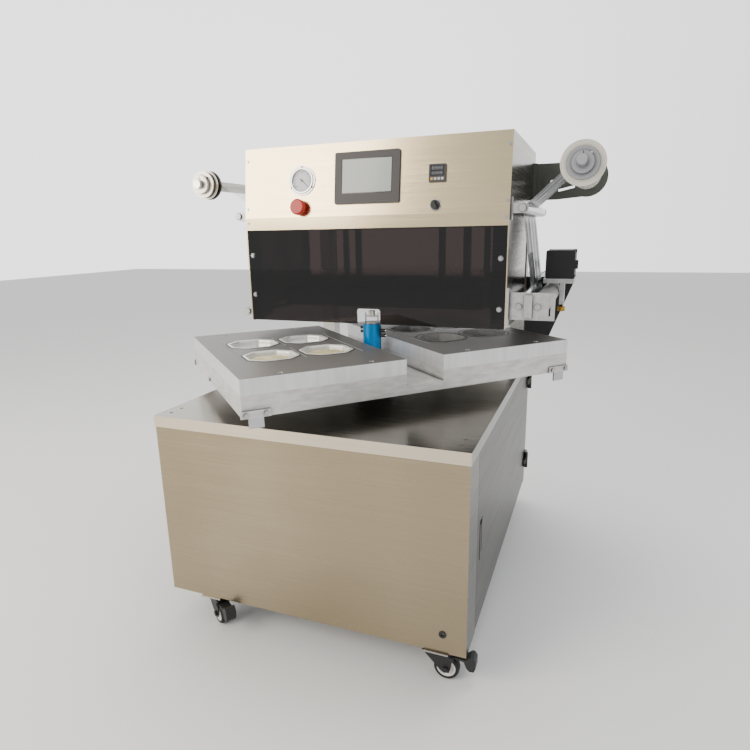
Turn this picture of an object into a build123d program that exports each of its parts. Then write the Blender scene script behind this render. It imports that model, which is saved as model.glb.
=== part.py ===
from build123d import *
from math import atan2, cos, degrees, hypot, pi, radians, sin, sqrt
import os

# ---------------------------------------------------------------- driving sizes, millimetres
# Axes: +X to the operator's right, +Y towards the back, +Z up.
# Origin: on the floor, under the middle of the cabinet.

# cabinet
CAB_W = 842.0                  # lid width
CAB_D = 1066.0                 # lid depth
SHEET = 2.0                    # stainless sheet
LID_TOP = 594.0
LID_SKIRT = 30.0
TUBE = 40.0                    # square tube of the base frame
TUBE_WALL = 2.5
PAN_T = 3.0                    # bottom pan
DOOR_FRONT_STRIP = 98.0        # fixed strip of the right side in front of the door
DOOR_REAR_STRIP = 30.0
DOOR_GAP = 1.5
DOOR_T = 18.0
LID_HOLE_R = 4.5
LID_HOLE_X = CAB_W / 2 - 29.0
LID_HOLE_PITCH = 42.0
LID_HOLE_INSET = 56.0          # from the lid's front edge to the middle of the pair
CABLE_HOLE_R = 7.0
CABLE_HOLE_X = CAB_W / 2 - 59.0
CABLE_HOLE_Z = 133.0

# casters
WHEEL_R = 31.5
WHEEL_HEADROOM = 20.0          # from the top of a wheel to the underside of the cabinet
WHEEL_W = 24.0
WHEEL_BORE = 4.0
AXLE_FIT = 0.05                # running clearance of every shaft in its bore, on the radius
CASTER_TRAIL = 22.0
CASTER_PLATE = 60.0
CASTER_PLATE_T = 4.0
CASTER_NECK = 6.0              # bearing race between plate and fork
FORK_T = 2.5
FORK_W = 30.0
PEDAL_L = 54.0
PEDAL_W = 28.0
FRONT_CASTERS = {"left": (-292.0, -506.0, -32.0), "right": (346.0, -506.0, 0.0)}
REAR_CASTERS = ((-345.0, 480.0), (345.0, 480.0))

# press frame
HEAD_W = 820.0
HEAD_HALF = HEAD_W / 2
COLUMN = 50.0
FOOT_T = 8.0
COLUMN_X = HEAD_HALF - 33.0
COLUMN_Y = 477.0
PLATE_Z = 1067.0               # underside of the press base plate
PLATE_T = 20.0
PLATE_FRONT = -30.0

# head
HEAD_FRONT = -54.0
HEAD_REAR = 507.0
STRIP_BOTTOM = 1062.0
PANEL_BEND = 1098.5
HEAD_TOP = 1305.0
PANEL_LEAN = 26.0
GUARD_BOTTOM = 780.0
GUARD_T = 6.0
NOTCH_W, NOTCH_H = 76.0, 46.0  # in the guard's lower edge, over the rotary union
GUARD_BAR_W = 40.0
GUARD_BAR_T = 10.0
SKIRT_PLATE_REAR = 337.0       # rear edge of the lower side plates
SKIRT_PLATE_T = 3.0

# instruments on the leaning panel: x, and height up the slope from the bend
HMI_W, HMI_H, HMI_UP = 200.0, 146.0, 32.5
GAUGE_X, GAUGE_UP, GAUGE_R, GAUGE_FLANGE_R = -210.0, 106.0, 33.0, 43.5
ESTOP_X, ESTOP_UP, ESTOP_R = -215.0, 27.0, 23.5
CONTROLLER_X, CONTROLLER_UP, CONTROLLER_W = 209.0, 107.0, 48.0
SELECTOR_X, SELECTOR_UP, SELECTOR_R = 206.0, 22.0, 12.0

# turntable
TABLE_Y = -25.5
TABLE_TURN = 46.7              # as drawn, anticlockwise seen from above
TABLE_L = 974.0
COLUMN_GAP = 27.0              # between a column and the side of a mould
TABLE_BOTTOM = 638.0
TABLE_T = 24.0
BASE_T = 30.5                  # lower mould base block
MOULD_T = 39.5
MOULD_GAP = 112.0
CAVITY_U = (-349.0, -190.0)    # cavity rows along the table, left mould
CAVITY_V = (-97.0, 97.0)
CAVITY_L = 132.0
CAVITY_W = 128.0
CAVITY_DEPTH = 34.0
CAVITY_CUT = 34.0              # cut corners
TRAY_LIP = 6.0
TRAY_T = 1.2
TRAY_GAP = 1.0
TRAY_SEAT = 0.05               # under the lip, so the tray lifts free
TRAY_H = 30.0
GROOVE_FAR, GROOVE_NEAR = 430.0, 107.0
HUB_R = 60.0
FLANGE_T = 14.0
SPINDLE_R = 40.0
SPINDLE_Z = 507.0              # lower end of the hollow spindle
PIPE_R = 9.0                   # fixed pipe through the spindle
UNION_R = 28.0
UNION_TOP = 778.0
TAB_U = 455.0
TAB_T = 4.0
TAB_BOTTOM = 613.0
TAB_SCREW_Z = 647.0

# upper mould and its drive
FILM_Z = 820.0                 # underside of the film when the press is open
FILM_T = 0.6
UPPER_CLEAR = 1.0
UPPER_T = 60.0
UPPER_RECESS = 12.0
HEATER_T = 20.0
CARRIAGE_T = 20.0
CLOSED_GAP = 0.5               # left between film and tray lips at the end of the stroke
GUIDE_ROD_R = 12.5
GUIDE_ROD_INSET = 55.0         # from the side of a mould to the middle of a guide rod
GUIDE_ROD_DY = 165.0
CYLINDER_R = 55.0
CYLINDER_ROD_R = 12.5
CYLINDER_X = 150.0

# film path: x and z of the axes, all along Y
REWIND_X, REWIND_Z = HEAD_HALF + 173.0, 1218.5
SUPPLY_X, SUPPLY_Z = -HEAD_HALF - 211.0, 1215.0
ARM_Y, ARM_T = 482.0, 12.0
ARM_TOP, ARM_BOTTOM = 1267.0, 1148.0
REWIND_BOSS_R, SUPPLY_BOSS_R = 65.0, 22.0     # rounded ends of the two arms
ARM_CAP_X, ARM_CAP_Z = HEAD_HALF + 60.0, 1207.0
REWIND_MOTOR_L = 106.0
REWIND_FLANGE_Y, SUPPLY_FLANGE_Y = 40.0, 24.0
UPPER_GUIDE_X, UPPER_GUIDE_Z = HEAD_HALF + 32.0, 1106.0
LOWER_GUIDE_X, LOWER_GUIDE_Z = -HEAD_HALF - 22.0, 805.0
GUIDE_R = 14.0
ROLLER_FRONT, ROLLER_REAR = -30.0, 470.0
BRACKET_FRONT, BRACKET_REAR = -33.0, 473.0     # inner faces of the roller brackets
BRACKET_T = 8.0
REAR_PLATE_Y = 482.0
GUIDE_AXLE_R = 5.0
FILM_W = 320.0
FILM_GAP = 0.3                 # between film and every roller it passes
DRIVE_X, NIP_Z = HEAD_HALF + 32.0, 844.0
DRIVE_R, PRESSURE_R = 22.0, 28.0
ROLLER_SHAFT_R = 8.0
SUPPLY_ROLL_R = 17.0
REWIND_ROLL_R = 26.0
WOUND_SKIN = 0.8               # outer turns of film, left off the cores
SHAFT_R = 13.0
MOTOR_SIZE = 86.0
MOTOR_X, MOTOR_Z = HEAD_HALF + 119.0, 944.0
MOTOR_FRONT, MOTOR_LENGTH = 217.0, 118.0
MOTOR_PULLEY_R = 18.0
DRIVE_PULLEY_R = 30.0
BELT_T = 2.0
DRIVE_BELT_Y = 494.0
SHELF_Z = 887.0
KNOB_Z = 787.0
KNOB_STANDOFF = 10.8           # from the pressure roller's skin to the middle of the nip screw


# ---------------------------------------------------------------- small helpers
def block(x0, x1, y0, y1, z0, z1):
    """A box given by its six faces."""
    size = (x1 - x0, y1 - y0, z1 - z0)
    return Pos((x0 + x1) / 2, (y0 + y1) / 2, (z0 + z1) / 2) * Box(*size)


def rod_y(x, z, radius, y0, y1):
    """A cylinder along Y."""
    return Pos(x, (y0 + y1) / 2, z) * Rot(90, 0, 0) * Cylinder(radius, y1 - y0)


def rod_x(y, z, radius, x0, x1):
    """A cylinder along X."""
    return Pos((x0 + x1) / 2, y, z) * Rot(0, 90, 0) * Cylinder(radius, x1 - x0)


def rod_z(x, y, radius, z0, z1):
    """A cylinder along Z."""
    return Pos(x, y, (z0 + z1) / 2) * Cylinder(radius, z1 - z0)


def ring_y(x, z, outer, inner, y0, y1):
    return rod_y(x, z, outer, y0, y1) - rod_y(x, z, inner, y0 - 1, y1 + 1)


def ring_z(x, y, outer, inner, z0, z1):
    return rod_z(x, y, outer, z0, z1) - rod_z(x, y, inner, z0 - 1, z1 + 1)


def profile_xz(points, y0, y1):
    """A flat plate standing in the XZ plane between two Y values."""
    face = Plane.XZ * make_face(Polyline(*points, close=True))
    return Pos(0, y1, 0) * extrude(face, y1 - y0)


def profile_yz(points, x0, x1):
    """A flat plate standing in the YZ plane between two X values."""
    face = Plane.YZ * make_face(Polyline(*points, close=True))
    return Pos(x0, 0, 0) * extrude(face, x1 - x0)


def plan(points, z0, z1):
    """A plate given by its outline seen from above."""
    return Pos(0, 0, z0) * extrude(make_face(Polyline(*points, close=True)), z1 - z0)


def mirror_x(shape):
    return mirror(shape, about=Plane.YZ)


def on_table(shape):
    """Puts a piece drawn along the turntable's own axes where the table stands."""
    return Pos(0, TABLE_Y, 0) * Rot(0, 0, TABLE_TURN) * shape


def on_panel(shape):
    """Puts a piece drawn flat (face towards -Y, bend line at z=0) on the leaning panel."""
    return Pos(0, HEAD_FRONT, PANEL_BEND) * Rot(-PANEL_ANGLE, 0, 0) * shape


def octagon(length, width, cut):
    a, b = length / 2, width / 2
    return [(-a, -b + cut), (-a + cut, -b), (a - cut, -b), (a, -b + cut),
            (a, b - cut), (a - cut, b), (-a + cut, b), (-a, b - cut)]


def octagon_block(length, width, cut, z0, z1):
    return plan(octagon(length, width, cut), z0, z1)


def solids_of(*shapes):
    """One node made of several separate pieces."""
    pieces = []
    for shape in shapes:
        pieces.extend(shape.solids())
    return Compound(children=pieces)


# ---------------------------------------------------------------- values worked out from the sizes
CAB_BOTTOM = 2 * WHEEL_R + WHEEL_HEADROOM
TABLE_W = 2 * (COLUMN_X - COLUMN / 2 - COLUMN_GAP)
GUIDE_ROD_X = TABLE_W / 2 - GUIDE_ROD_INSET
PANEL_ANGLE = degrees(atan2(PANEL_LEAN, HEAD_TOP - PANEL_BEND))
PANEL_SLOPE = hypot(PANEL_LEAN, HEAD_TOP - PANEL_BEND)
SHELL_W = CAB_W - 2 * SHEET
SHELL_D = CAB_D - 2 * SHEET
LID_BOTTOM = LID_TOP - LID_SKIRT
SHELL_TOP = LID_TOP - SHEET
BASE_Z = TABLE_BOTTOM + TABLE_T
MOULD_Z = BASE_Z + BASE_T
MOULD_TOP = MOULD_Z + MOULD_T
MOULD_L = (TABLE_L - MOULD_GAP) / 2
MOULD_U = MOULD_GAP / 2 + MOULD_L / 2
PRESS_Y = TABLE_Y + MOULD_U
PRESS_STROKE = FILM_Z - MOULD_TOP - TRAY_T - TRAY_SEAT - CLOSED_GAP
FILM_FRONT, FILM_REAR = PRESS_Y - FILM_W / 2, PRESS_Y + FILM_W / 2
UPPER_BOTTOM = FILM_Z + FILM_T + UPPER_CLEAR
UPPER_TOP = UPPER_BOTTOM + UPPER_T
HEATER_TOP = UPPER_TOP + HEATER_T
CARRIAGE_TOP = HEATER_TOP + CARRIAGE_T
CYLINDER_H = PRESS_STROKE + 80
PRESSURE_X = DRIVE_X + DRIVE_R + PRESSURE_R + FILM_T + 2 * FILM_GAP
KNOB_X = PRESSURE_X + PRESSURE_R + KNOB_STANDOFF
SHELL_X = SHELL_W / 2
SHELL_Y = SHELL_D / 2
SIDE_IN = HEAD_HALF - SHEET


# ---------------------------------------------------------------- cabinet
def square_tube(x0, x1, y0, y1, z0, z1):
    """A square tube with its bore along its longest side."""
    outer = block(x0, x1, y0, y1, z0, z1)
    w = TUBE_WALL
    spans = {"x": x1 - x0, "y": y1 - y0, "z": z1 - z0}
    longest = max(spans, key=spans.get)
    if longest == "x":
        return outer - block(x0 - 1, x1 + 1, y0 + w, y1 - w, z0 + w, z1 - w)
    if longest == "y":
        return outer - block(x0 + w, x1 - w, y0 - 1, y1 + 1, z0 + w, z1 - w)
    return outer - block(x0 + w, x1 - w, y0 + w, y1 - w, z0 - 1, z1 + 1)


def base_frame():
    """Welded square tubes, with the bottom pan under them."""
    x = SHELL_X - SHEET - DOOR_T - DOOR_GAP
    y = SHELL_Y - SHEET
    low = CAB_BOTTOM + PAN_T
    top = LID_TOP - SHEET
    tubes = []
    for z0 in (low, top - TUBE):
        tubes.append(square_tube(-x, x, -y, -y + TUBE, z0, z0 + TUBE))
        tubes.append(square_tube(-x, x, y - TUBE, y, z0, z0 + TUBE))
        for sx in (-1, 1):
            x0, x1 = sorted((sx * x, sx * (x - TUBE)))
            tubes.append(square_tube(x0, x1, -y + TUBE, y - TUBE, z0, z0 + TUBE))
    for sx in (-1, 1):
        for sy in (-1, 1):
            x0, x1 = sorted((sx * x, sx * (x - TUBE)))
            y0, y1 = sorted((sy * y, sy * (y - TUBE)))
            tubes.append(square_tube(x0, x1, y0, y1, low + TUBE, top - TUBE))
    hub = HUB_R + 60
    for y0 in (TABLE_Y - hub, TABLE_Y + hub - TUBE):
        tubes.append(square_tube(-x + TUBE, x - TUBE, y0, y0 + TUBE, top - TUBE, top))
    pan = block(-SHELL_X + SHEET, SHELL_X - SHEET, -SHELL_Y + SHEET, SHELL_Y - SHEET,
                CAB_BOTTOM, low)
    return solids_of(pan, *tubes)


def louvres(x0, x1, z0, z1, pitch, y0, y1):
    """The slots of the rear vent."""
    slots = []
    z = z0
    while z < z1:
        slots.append(block(x0, x1, y0, y1, z, z + pitch / 3))
        z += pitch
    return slots


def cabinet_shell():
    """Front, left, rear and the two fixed strips of the right side, bent from one sheet."""
    z0, z1 = CAB_BOTTOM, SHELL_TOP
    x, y, t = SHELL_X, SHELL_Y, SHEET
    outer = block(-x, x, -y, y, z0, z1)
    inner = block(-x + t, x - t, -y + t, y - t, z0 - 1, z1 + 1)
    doorway = block(x - t - 1, x + 1, -y + DOOR_FRONT_STRIP, y - DOOR_REAR_STRIP,
                    z0 - 1, LID_BOTTOM)
    shell = outer - inner - doorway
    shell -= rod_y(CABLE_HOLE_X, CABLE_HOLE_Z, CABLE_HOLE_R, -y - 1, -y + t + 1)
    for slot in louvres(-120, 120, 207, 327, 24, y - t - 1, y + 1):
        shell -= slot
    return shell


def lid_hole_places():
    """The pairs of open holes in the lid's two front corners."""
    y = LID_HOLE_INSET - CAB_D / 2
    return [(sx * LID_HOLE_X, y + k * LID_HOLE_PITCH) for sx in (-1, 1) for k in (-0.5, 0.5)]


def cabinet_lid():
    """Tray-shaped top with a folded skirt, and the hub opening for the turntable."""
    x, y = CAB_W / 2, CAB_D / 2
    lid = block(-x, x, -y, y, LID_BOTTOM, LID_TOP)
    lid -= block(-x + SHEET, x - SHEET, -y + SHEET, y - SHEET, LID_BOTTOM - 1, LID_TOP - SHEET)
    lid -= rod_z(0, TABLE_Y, HUB_R + 8, LID_BOTTOM, LID_TOP + 1)
    for hx, hy in lid_hole_places():
        lid -= rod_z(hx, hy, LID_HOLE_R, LID_BOTTOM, LID_TOP + 1)
    return lid


# ---------------------------------------------------------------- door
DOOR_X0 = SHELL_X - SHEET
DOOR_Y0 = -SHELL_Y + DOOR_FRONT_STRIP + DOOR_GAP
DOOR_Y1 = SHELL_Y - DOOR_REAR_STRIP - DOOR_GAP
DOOR_Z0 = CAB_BOTTOM + PAN_T + DOOR_GAP
DOOR_Z1 = LID_BOTTOM - DOOR_GAP
HINGE_R = 7.0
HINGE_X = SHELL_X + HINGE_R + 1.0
HINGE_Y = SHELL_Y - DOOR_REAR_STRIP + 4.0
HINGE_Z = (180.0, 500.0)
HINGE_LEN = 62.0
LOCK_Y = DOOR_Y0 + 44.0
LOCK_Z = 317.0


def door_panel():
    """Door skin with folded edges, its black hinge leaves and the lock's plate."""
    x1 = SHELL_X
    skin = block(DOOR_X0 - DOOR_T + SHEET, x1, DOOR_Y0, DOOR_Y1, DOOR_Z0, DOOR_Z1)
    skin -= block(DOOR_X0 - DOOR_T, DOOR_X0, DOOR_Y0 + SHEET, DOOR_Y1 - SHEET,
                  DOOR_Z0 + SHEET, DOOR_Z1 - SHEET)
    skin -= block(DOOR_X0 - 1, x1 + 1, LOCK_Y - 6, LOCK_Y + 6, LOCK_Z - 34, LOCK_Z + 34)
    leaves = []
    for z in HINGE_Z:
        leaf = block(x1, HINGE_X, DOOR_Y1 - 32, HINGE_Y, z - HINGE_LEN / 6, z + HINGE_LEN / 6)
        leaf += rod_z(HINGE_X, HINGE_Y, HINGE_R, z - HINGE_LEN / 6, z + HINGE_LEN / 6)
        leaf -= rod_z(HINGE_X, HINGE_Y, 3 + AXLE_FIT, z - HINGE_LEN, z + HINGE_LEN)
        leaves.append(leaf)
    cup = block(x1, x1 + 1.2, LOCK_Y - 14, LOCK_Y + 14, LOCK_Z - 52, LOCK_Z + 52)
    cup -= block(x1 - 1, x1 + 3, LOCK_Y - 6, LOCK_Y + 6, LOCK_Z - 34, LOCK_Z + 34)
    cup += rod_x(LOCK_Y, LOCK_Z + 44, 7, x1, x1 + 3)
    return solids_of(skin, cup, *leaves)


def fixed_knuckles():
    """The fixed knuckles on the rear strip, with their pins."""
    pieces = []
    gap = 0.4
    for z in HINGE_Z:
        for sign in (-1, 1):
            z0, z1 = sorted((z + sign * (HINGE_LEN / 6 + gap), z + sign * HINGE_LEN / 2))
            knuckle = block(SHELL_X, HINGE_X, HINGE_Y, SHELL_Y - 1, z0, z1)
            knuckle += rod_z(HINGE_X, HINGE_Y, HINGE_R, z0, z1)
            if sign < 0:
                knuckle += rod_z(HINGE_X, HINGE_Y, 3, z0, z + HINGE_LEN / 2)
            else:
                knuckle -= rod_z(HINGE_X, HINGE_Y, 3, z0 - 1, z1 + 1)
            pieces.append(knuckle)
    return pieces


def door_lock():
    """The lock's flush lever, hinged at its top."""
    x1 = SHELL_X + 0.6
    lever = block(x1 - 2.5, x1, LOCK_Y - 5.2, LOCK_Y + 5.2, LOCK_Z - 33, LOCK_Z + 25)
    lever += rod_y(x1 - 4.5, LOCK_Z + 28, 4.5, LOCK_Y - 5.2, LOCK_Y + 5.2)
    return lever


# ---------------------------------------------------------------- casters
def caster_wheel(x, y, direction):
    """Tyred wheel with its hub; direction is the way the fork trails, in degrees."""
    wheel = Cylinder(WHEEL_R, WHEEL_W)
    wheel = fillet(wheel.edges(), 3)
    for sign in (-1, 1):
        dish = Pos(0, 0, sign * (WHEEL_W / 2)) * (Cylinder(WHEEL_R - 6, 5) - Cylinder(10, 6))
        wheel -= dish
    wheel -= Cylinder(WHEEL_BORE + AXLE_FIT, WHEEL_W + 2)
    return caster_place(x, y, direction, Pos(CASTER_TRAIL, 0, WHEEL_R) * Rot(90, 0, 0) * wheel)


def caster_place(x, y, direction, shape):
    return Pos(x, y, 0) * Rot(0, 0, direction) * shape


def fork_shape():
    """Pressed fork with its axle, trailing along +X, its top at the swivel race."""
    top = CAB_BOTTOM - CASTER_PLATE_T - CASTER_NECK
    half = FORK_W / 2
    x = CASTER_TRAIL
    outline = [(-38, top), (38, top), (x + 12, WHEEL_R + 2), (x + 8, WHEEL_R - 9),
               (x - 4, WHEEL_R - 12), (x - 14, WHEEL_R - 6)]
    cheek = profile_xz(outline, half - FORK_T, half)
    other = profile_xz(outline, -half, -half + FORK_T)
    crown = block(-38, 38, -half, half, top - FORK_T, top)
    fork = cheek + other + crown
    fork += rod_y(CASTER_TRAIL, WHEEL_R, WHEEL_BORE, -half - 4, half + 4)
    for sign in (-1, 1):
        nut = Pos(CASTER_TRAIL, sign * (half + 2.5), WHEEL_R) * Rot(90, 0, 0)
        fork += nut * extrude(RegularPolygon(7, 6), 2.5, both=True)
    return fork


def caster_fork(x, y, direction):
    fork = fork_shape() + ring_z(0, 0, 19, 6 + AXLE_FIT, CAB_BOTTOM - CASTER_PLATE_T - CASTER_NECK,
                                 CAB_BOTTOM - CASTER_PLATE_T - 0.5)
    fork -= rod_z(0, 0, 6 + AXLE_FIT, CAB_BOTTOM - CASTER_PLATE_T - CASTER_NECK - 9, CAB_BOTTOM)
    return caster_place(x, y, direction, fork)


def brake_pedal(x, y, direction):
    """Toe pedal that hangs behind the wheel."""
    z = 2 * WHEEL_R + 2
    x0 = CASTER_TRAIL + 17
    half = FORK_W / 2 + 0.8
    tip = x0 + PEDAL_L
    pedal = profile_xz([(x0, z), (x0 + 26, z - 3), (x0 + 33, z - 20), (x0 + 40, z - 26),
                        (tip - 4, z - 25), (tip, z - 16), (tip, z + 5), (tip - 5, z + 13),
                        (tip - 12, z + 14), (x0 + 30, z + 3), (x0, z + 4)],
                       -PEDAL_W / 2, PEDAL_W / 2)
    cheeks = block(x0 - 8, x0 + 2, half, half + 2, z - 6, z + 4)
    cheeks += block(x0 - 8, x0 + 2, -half - 2, -half, z - 6, z + 4)
    for sign in (-1, 1):
        y0, y1 = sorted((sign * half, sign * (half + 3)))
        cheeks += rod_y(x0 - 4, z - 1, 4, y0, y1)
    cheeks += block(x0, x0 + 2, -half - 2, half + 2, z, z + 4)
    return caster_place(x, y, direction, pedal + cheeks)


def caster_plates():
    """Top plates: the front pair with king pins, the rear pair with rigid forks."""
    pieces = []
    half = CASTER_PLATE / 2
    z0 = CAB_BOTTOM - CASTER_PLATE_T
    below = z0 - CASTER_NECK - FORK_T
    for x, y, direction in FRONT_CASTERS.values():
        plate = block(x - half, x + half, y - half, y + half, z0, CAB_BOTTOM)
        plate += rod_z(x, y, 6, below - 3, z0 + 1)
        plate += rod_z(x, y, 9, below - 3, below - 0.3)
        pieces.append(plate)
    for x, y in REAR_CASTERS:
        fork = caster_place(x, y, 90, fork_shape())
        fork += block(x - half, x + half, y - half, y + half, z0, CAB_BOTTOM)
        fork += rod_z(x, y, 19, z0 - CASTER_NECK, z0)
        pieces.append(fork)
    return solids_of(*pieces)


# ---------------------------------------------------------------- press frame
def guide_rod_places():
    return [(sx * GUIDE_ROD_X, PRESS_Y + sy * GUIDE_ROD_DY) for sx in (-1, 1) for sy in (-1, 1)]


def press_frame():
    """Two columns on foot plates, the base plate between them, and its four guide bushings."""
    pieces = []
    half = COLUMN / 2
    for sx in (-1, 1):
        x = sx * COLUMN_X
        column = square_tube(x - half, x + half, COLUMN_Y - half, COLUMN_Y + half,
                             LID_TOP + FOOT_T, PLATE_Z)
        column += block(x - half - 8, x + half + 8, COLUMN_Y - half, COLUMN_Y + half + 18,
                        LID_TOP, LID_TOP + FOOT_T)
        pieces.append(column)
    plate = block(-SIDE_IN, SIDE_IN, PLATE_FRONT, COLUMN_Y + half, PLATE_Z, PLATE_Z + PLATE_T)
    bush_r = GUIDE_ROD_R + 9
    for x, y in guide_rod_places():
        plate -= rod_z(x, y, bush_r, PLATE_Z - 1, PLATE_Z + PLATE_T + 1)
        bush = ring_z(x, y, bush_r, GUIDE_ROD_R + AXLE_FIT, PLATE_Z, PLATE_Z + 60)
        bush += ring_z(x, y, bush_r + 10, GUIDE_ROD_R + AXLE_FIT, PLATE_Z + PLATE_T,
                       PLATE_Z + PLATE_T + 8)
        pieces.append(bush)
    for sx in (-1, 1):
        plate -= rod_z(sx * CYLINDER_X, PRESS_Y, CYLINDER_ROD_R + 6, PLATE_Z - 1, PLATE_Z + PLATE_T + 1)
    pieces.append(plate)
    return solids_of(*pieces)


def press_cylinders():
    """Two air cylinders standing on the base plate."""
    pieces = []
    z0 = PLATE_Z + PLATE_T
    cap = 22.0
    half = CYLINDER_R + 5
    for sx in (-1, 1):
        x = sx * CYLINDER_X
        body = rod_z(x, PRESS_Y, CYLINDER_R, z0 + cap, z0 + CYLINDER_H - cap)
        for z in (z0, z0 + CYLINDER_H - cap):
            end = block(x - half, x + half, PRESS_Y - half, PRESS_Y + half, z, z + cap)
            body += fillet(end.edges().filter_by(Axis.Z), 8)
        for dx in (-1, 1):
            for dy in (-1, 1):
                body += rod_z(x + dx * (half - 9), PRESS_Y + dy * (half - 9), 5, z0, z0 + CYLINDER_H)
        body -= rod_z(x, PRESS_Y, CYLINDER_R - 6, z0 + cap, z0 + CYLINDER_H - cap)
        body -= rod_z(x, PRESS_Y, CYLINDER_ROD_R + AXLE_FIT, z0 - 1, z0 + cap + 1)
        pieces.append(body)
    return solids_of(*pieces)


def press_rods():
    """The four guide rods and the two piston rods, all fixed to the carriage."""
    rods = []
    for x, y in guide_rod_places():
        rods.append(rod_z(x, y, GUIDE_ROD_R, CARRIAGE_TOP, PLATE_Z + PLATE_T + PRESS_STROKE + 80))
    top = PLATE_Z + PLATE_T + CYLINDER_H - 30
    for sx in (-1, 1):
        rod = rod_z(sx * CYLINDER_X, PRESS_Y, CYLINDER_ROD_R, CARRIAGE_TOP, top)
        piston = rod_z(sx * CYLINDER_X, PRESS_Y, CYLINDER_R - 6 - AXLE_FIT, top - 22, top)
        rods.append(rod + piston)
    return rods


def press_carriage():
    """Carriage over the heater block, with the guide and piston rods fixed to it."""
    y0, y1 = PRESS_Y - MOULD_L / 2, PRESS_Y + MOULD_L / 2
    x = TABLE_W / 2
    carriage = block(-x, x, y0, y1, HEATER_TOP, CARRIAGE_TOP)
    heater = block(-x + 30, x - 30, y0 + 20, y1 - 20, UPPER_TOP, HEATER_TOP)
    return solids_of(carriage, heater, *press_rods())


def upper_mould():
    """Upper half mould: a sealing pad over each cavity, with a cutting frame round it."""
    y0, y1 = PRESS_Y - MOULD_L / 2, PRESS_Y + MOULD_L / 2
    x = TABLE_W / 2
    mould = block(-x, x, y0, y1, UPPER_BOTTOM, UPPER_TOP)
    knives = []
    for px in CAVITY_V:
        for u in CAVITY_U:
            py = TABLE_Y - u
            recess = octagon_block(CAVITY_W + 16, CAVITY_L + 16, CAVITY_CUT + 4,
                                   UPPER_BOTTOM - 1, UPPER_BOTTOM + UPPER_RECESS)
            mould -= Pos(px, py, 0) * recess
            pad = octagon_block(CAVITY_W + 4, CAVITY_L + 4, CAVITY_CUT, UPPER_BOTTOM,
                                UPPER_BOTTOM + UPPER_RECESS)
            mould += Pos(px, py, 0) * pad
            knife = octagon_block(CAVITY_W + 12, CAVITY_L + 12, CAVITY_CUT + 3, UPPER_BOTTOM + 0.5,
                                  UPPER_BOTTOM + UPPER_RECESS)
            knife -= octagon_block(CAVITY_W + 9, CAVITY_L + 9, CAVITY_CUT + 2, UPPER_BOTTOM,
                                   UPPER_BOTTOM + UPPER_RECESS + 1)
            knives.append(Pos(px, py, 0) * knife)
    return solids_of(mould, *knives)


# ---------------------------------------------------------------- head
def panel_points(inset):
    """Front edge of the head seen from the side, moved inwards by inset."""
    return [(HEAD_FRONT + inset, STRIP_BOTTOM), (HEAD_FRONT + inset, PANEL_BEND),
            (HEAD_FRONT + PANEL_LEAN + inset, HEAD_TOP)]


def control_panel():
    """Front sheet: upright strip and leaning panel, with the instrument cut-outs."""
    t = SHEET
    sheet = profile_yz(panel_points(0) + panel_points(t)[::-1], -HEAD_HALF, HEAD_HALF)
    for w, h, x, up in ((HMI_W - 14, HMI_H - 14, 0, HMI_UP + HMI_H / 2),
                        (CONTROLLER_W - 3, CONTROLLER_W - 3, CONTROLLER_X, CONTROLLER_UP)):
        sheet -= on_panel(block(x - w / 2, x + w / 2, -5, 10, up - h / 2, up + h / 2))
    for radius, x, up in ((GAUGE_R + 0.5, GAUGE_X, GAUGE_UP), (11.2, ESTOP_X, ESTOP_UP),
                          (11.2, SELECTOR_X, SELECTOR_UP)):
        sheet -= on_panel(rod_y(x, up, radius, -5, 10))
    return sheet


def side_panels():
    """Upper side sheets of the head and the lower side plates of the guard."""
    upper = profile_yz(panel_points(SHEET) + [(HEAD_REAR - SHEET, HEAD_TOP - SHEET),
                                              (HEAD_REAR - SHEET, STRIP_BOTTOM)],
                       SIDE_IN, HEAD_HALF)
    upper -= block(SIDE_IN - 1, HEAD_HALF + 1, HEAD_FRONT, HEAD_REAR, HEAD_TOP - SHEET, HEAD_TOP + 1)
    z0, z1 = GUARD_BOTTOM, STRIP_BOTTOM
    bend = 60.0
    lower = block(HEAD_HALF - SKIRT_PLATE_T, HEAD_HALF, HEAD_FRONT, SKIRT_PLATE_REAR, z0, z1)
    corner = lower.edges().filter_by(Axis.X).sort_by(Axis.Z)[:2].sort_by(Axis.Y)[-1]
    lower = fillet(corner, bend)
    slot = FILM_FRONT - 12
    right = lower - block(HEAD_HALF - 9, HEAD_HALF + 1, slot, HEAD_REAR, FILM_Z - 14, NIP_Z + 8)
    left = mirror_x(lower) - block(-HEAD_HALF - 1, 9 - HEAD_HALF, slot, HEAD_REAR,
                                   GUARD_BOTTOM - 1, FILM_Z)
    return solids_of(upper, right, mirror_x(upper), left, *guard_bars())


def head_cover():
    """Top and rear sheet of the head, bent from one piece, with a rear opening for service."""
    top_front = HEAD_FRONT + PANEL_LEAN + SHEET
    cover = block(-HEAD_HALF, HEAD_HALF, top_front, HEAD_REAR, HEAD_TOP - SHEET, HEAD_TOP)
    cover += block(-HEAD_HALF, HEAD_HALF, HEAD_REAR - SHEET, HEAD_REAR, STRIP_BOTTOM, HEAD_TOP)
    for slot in louvres(-150, 150, 1137, 1237, 20, HEAD_REAR - SHEET - 1, HEAD_REAR + 1):
        cover -= slot
    return cover


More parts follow.
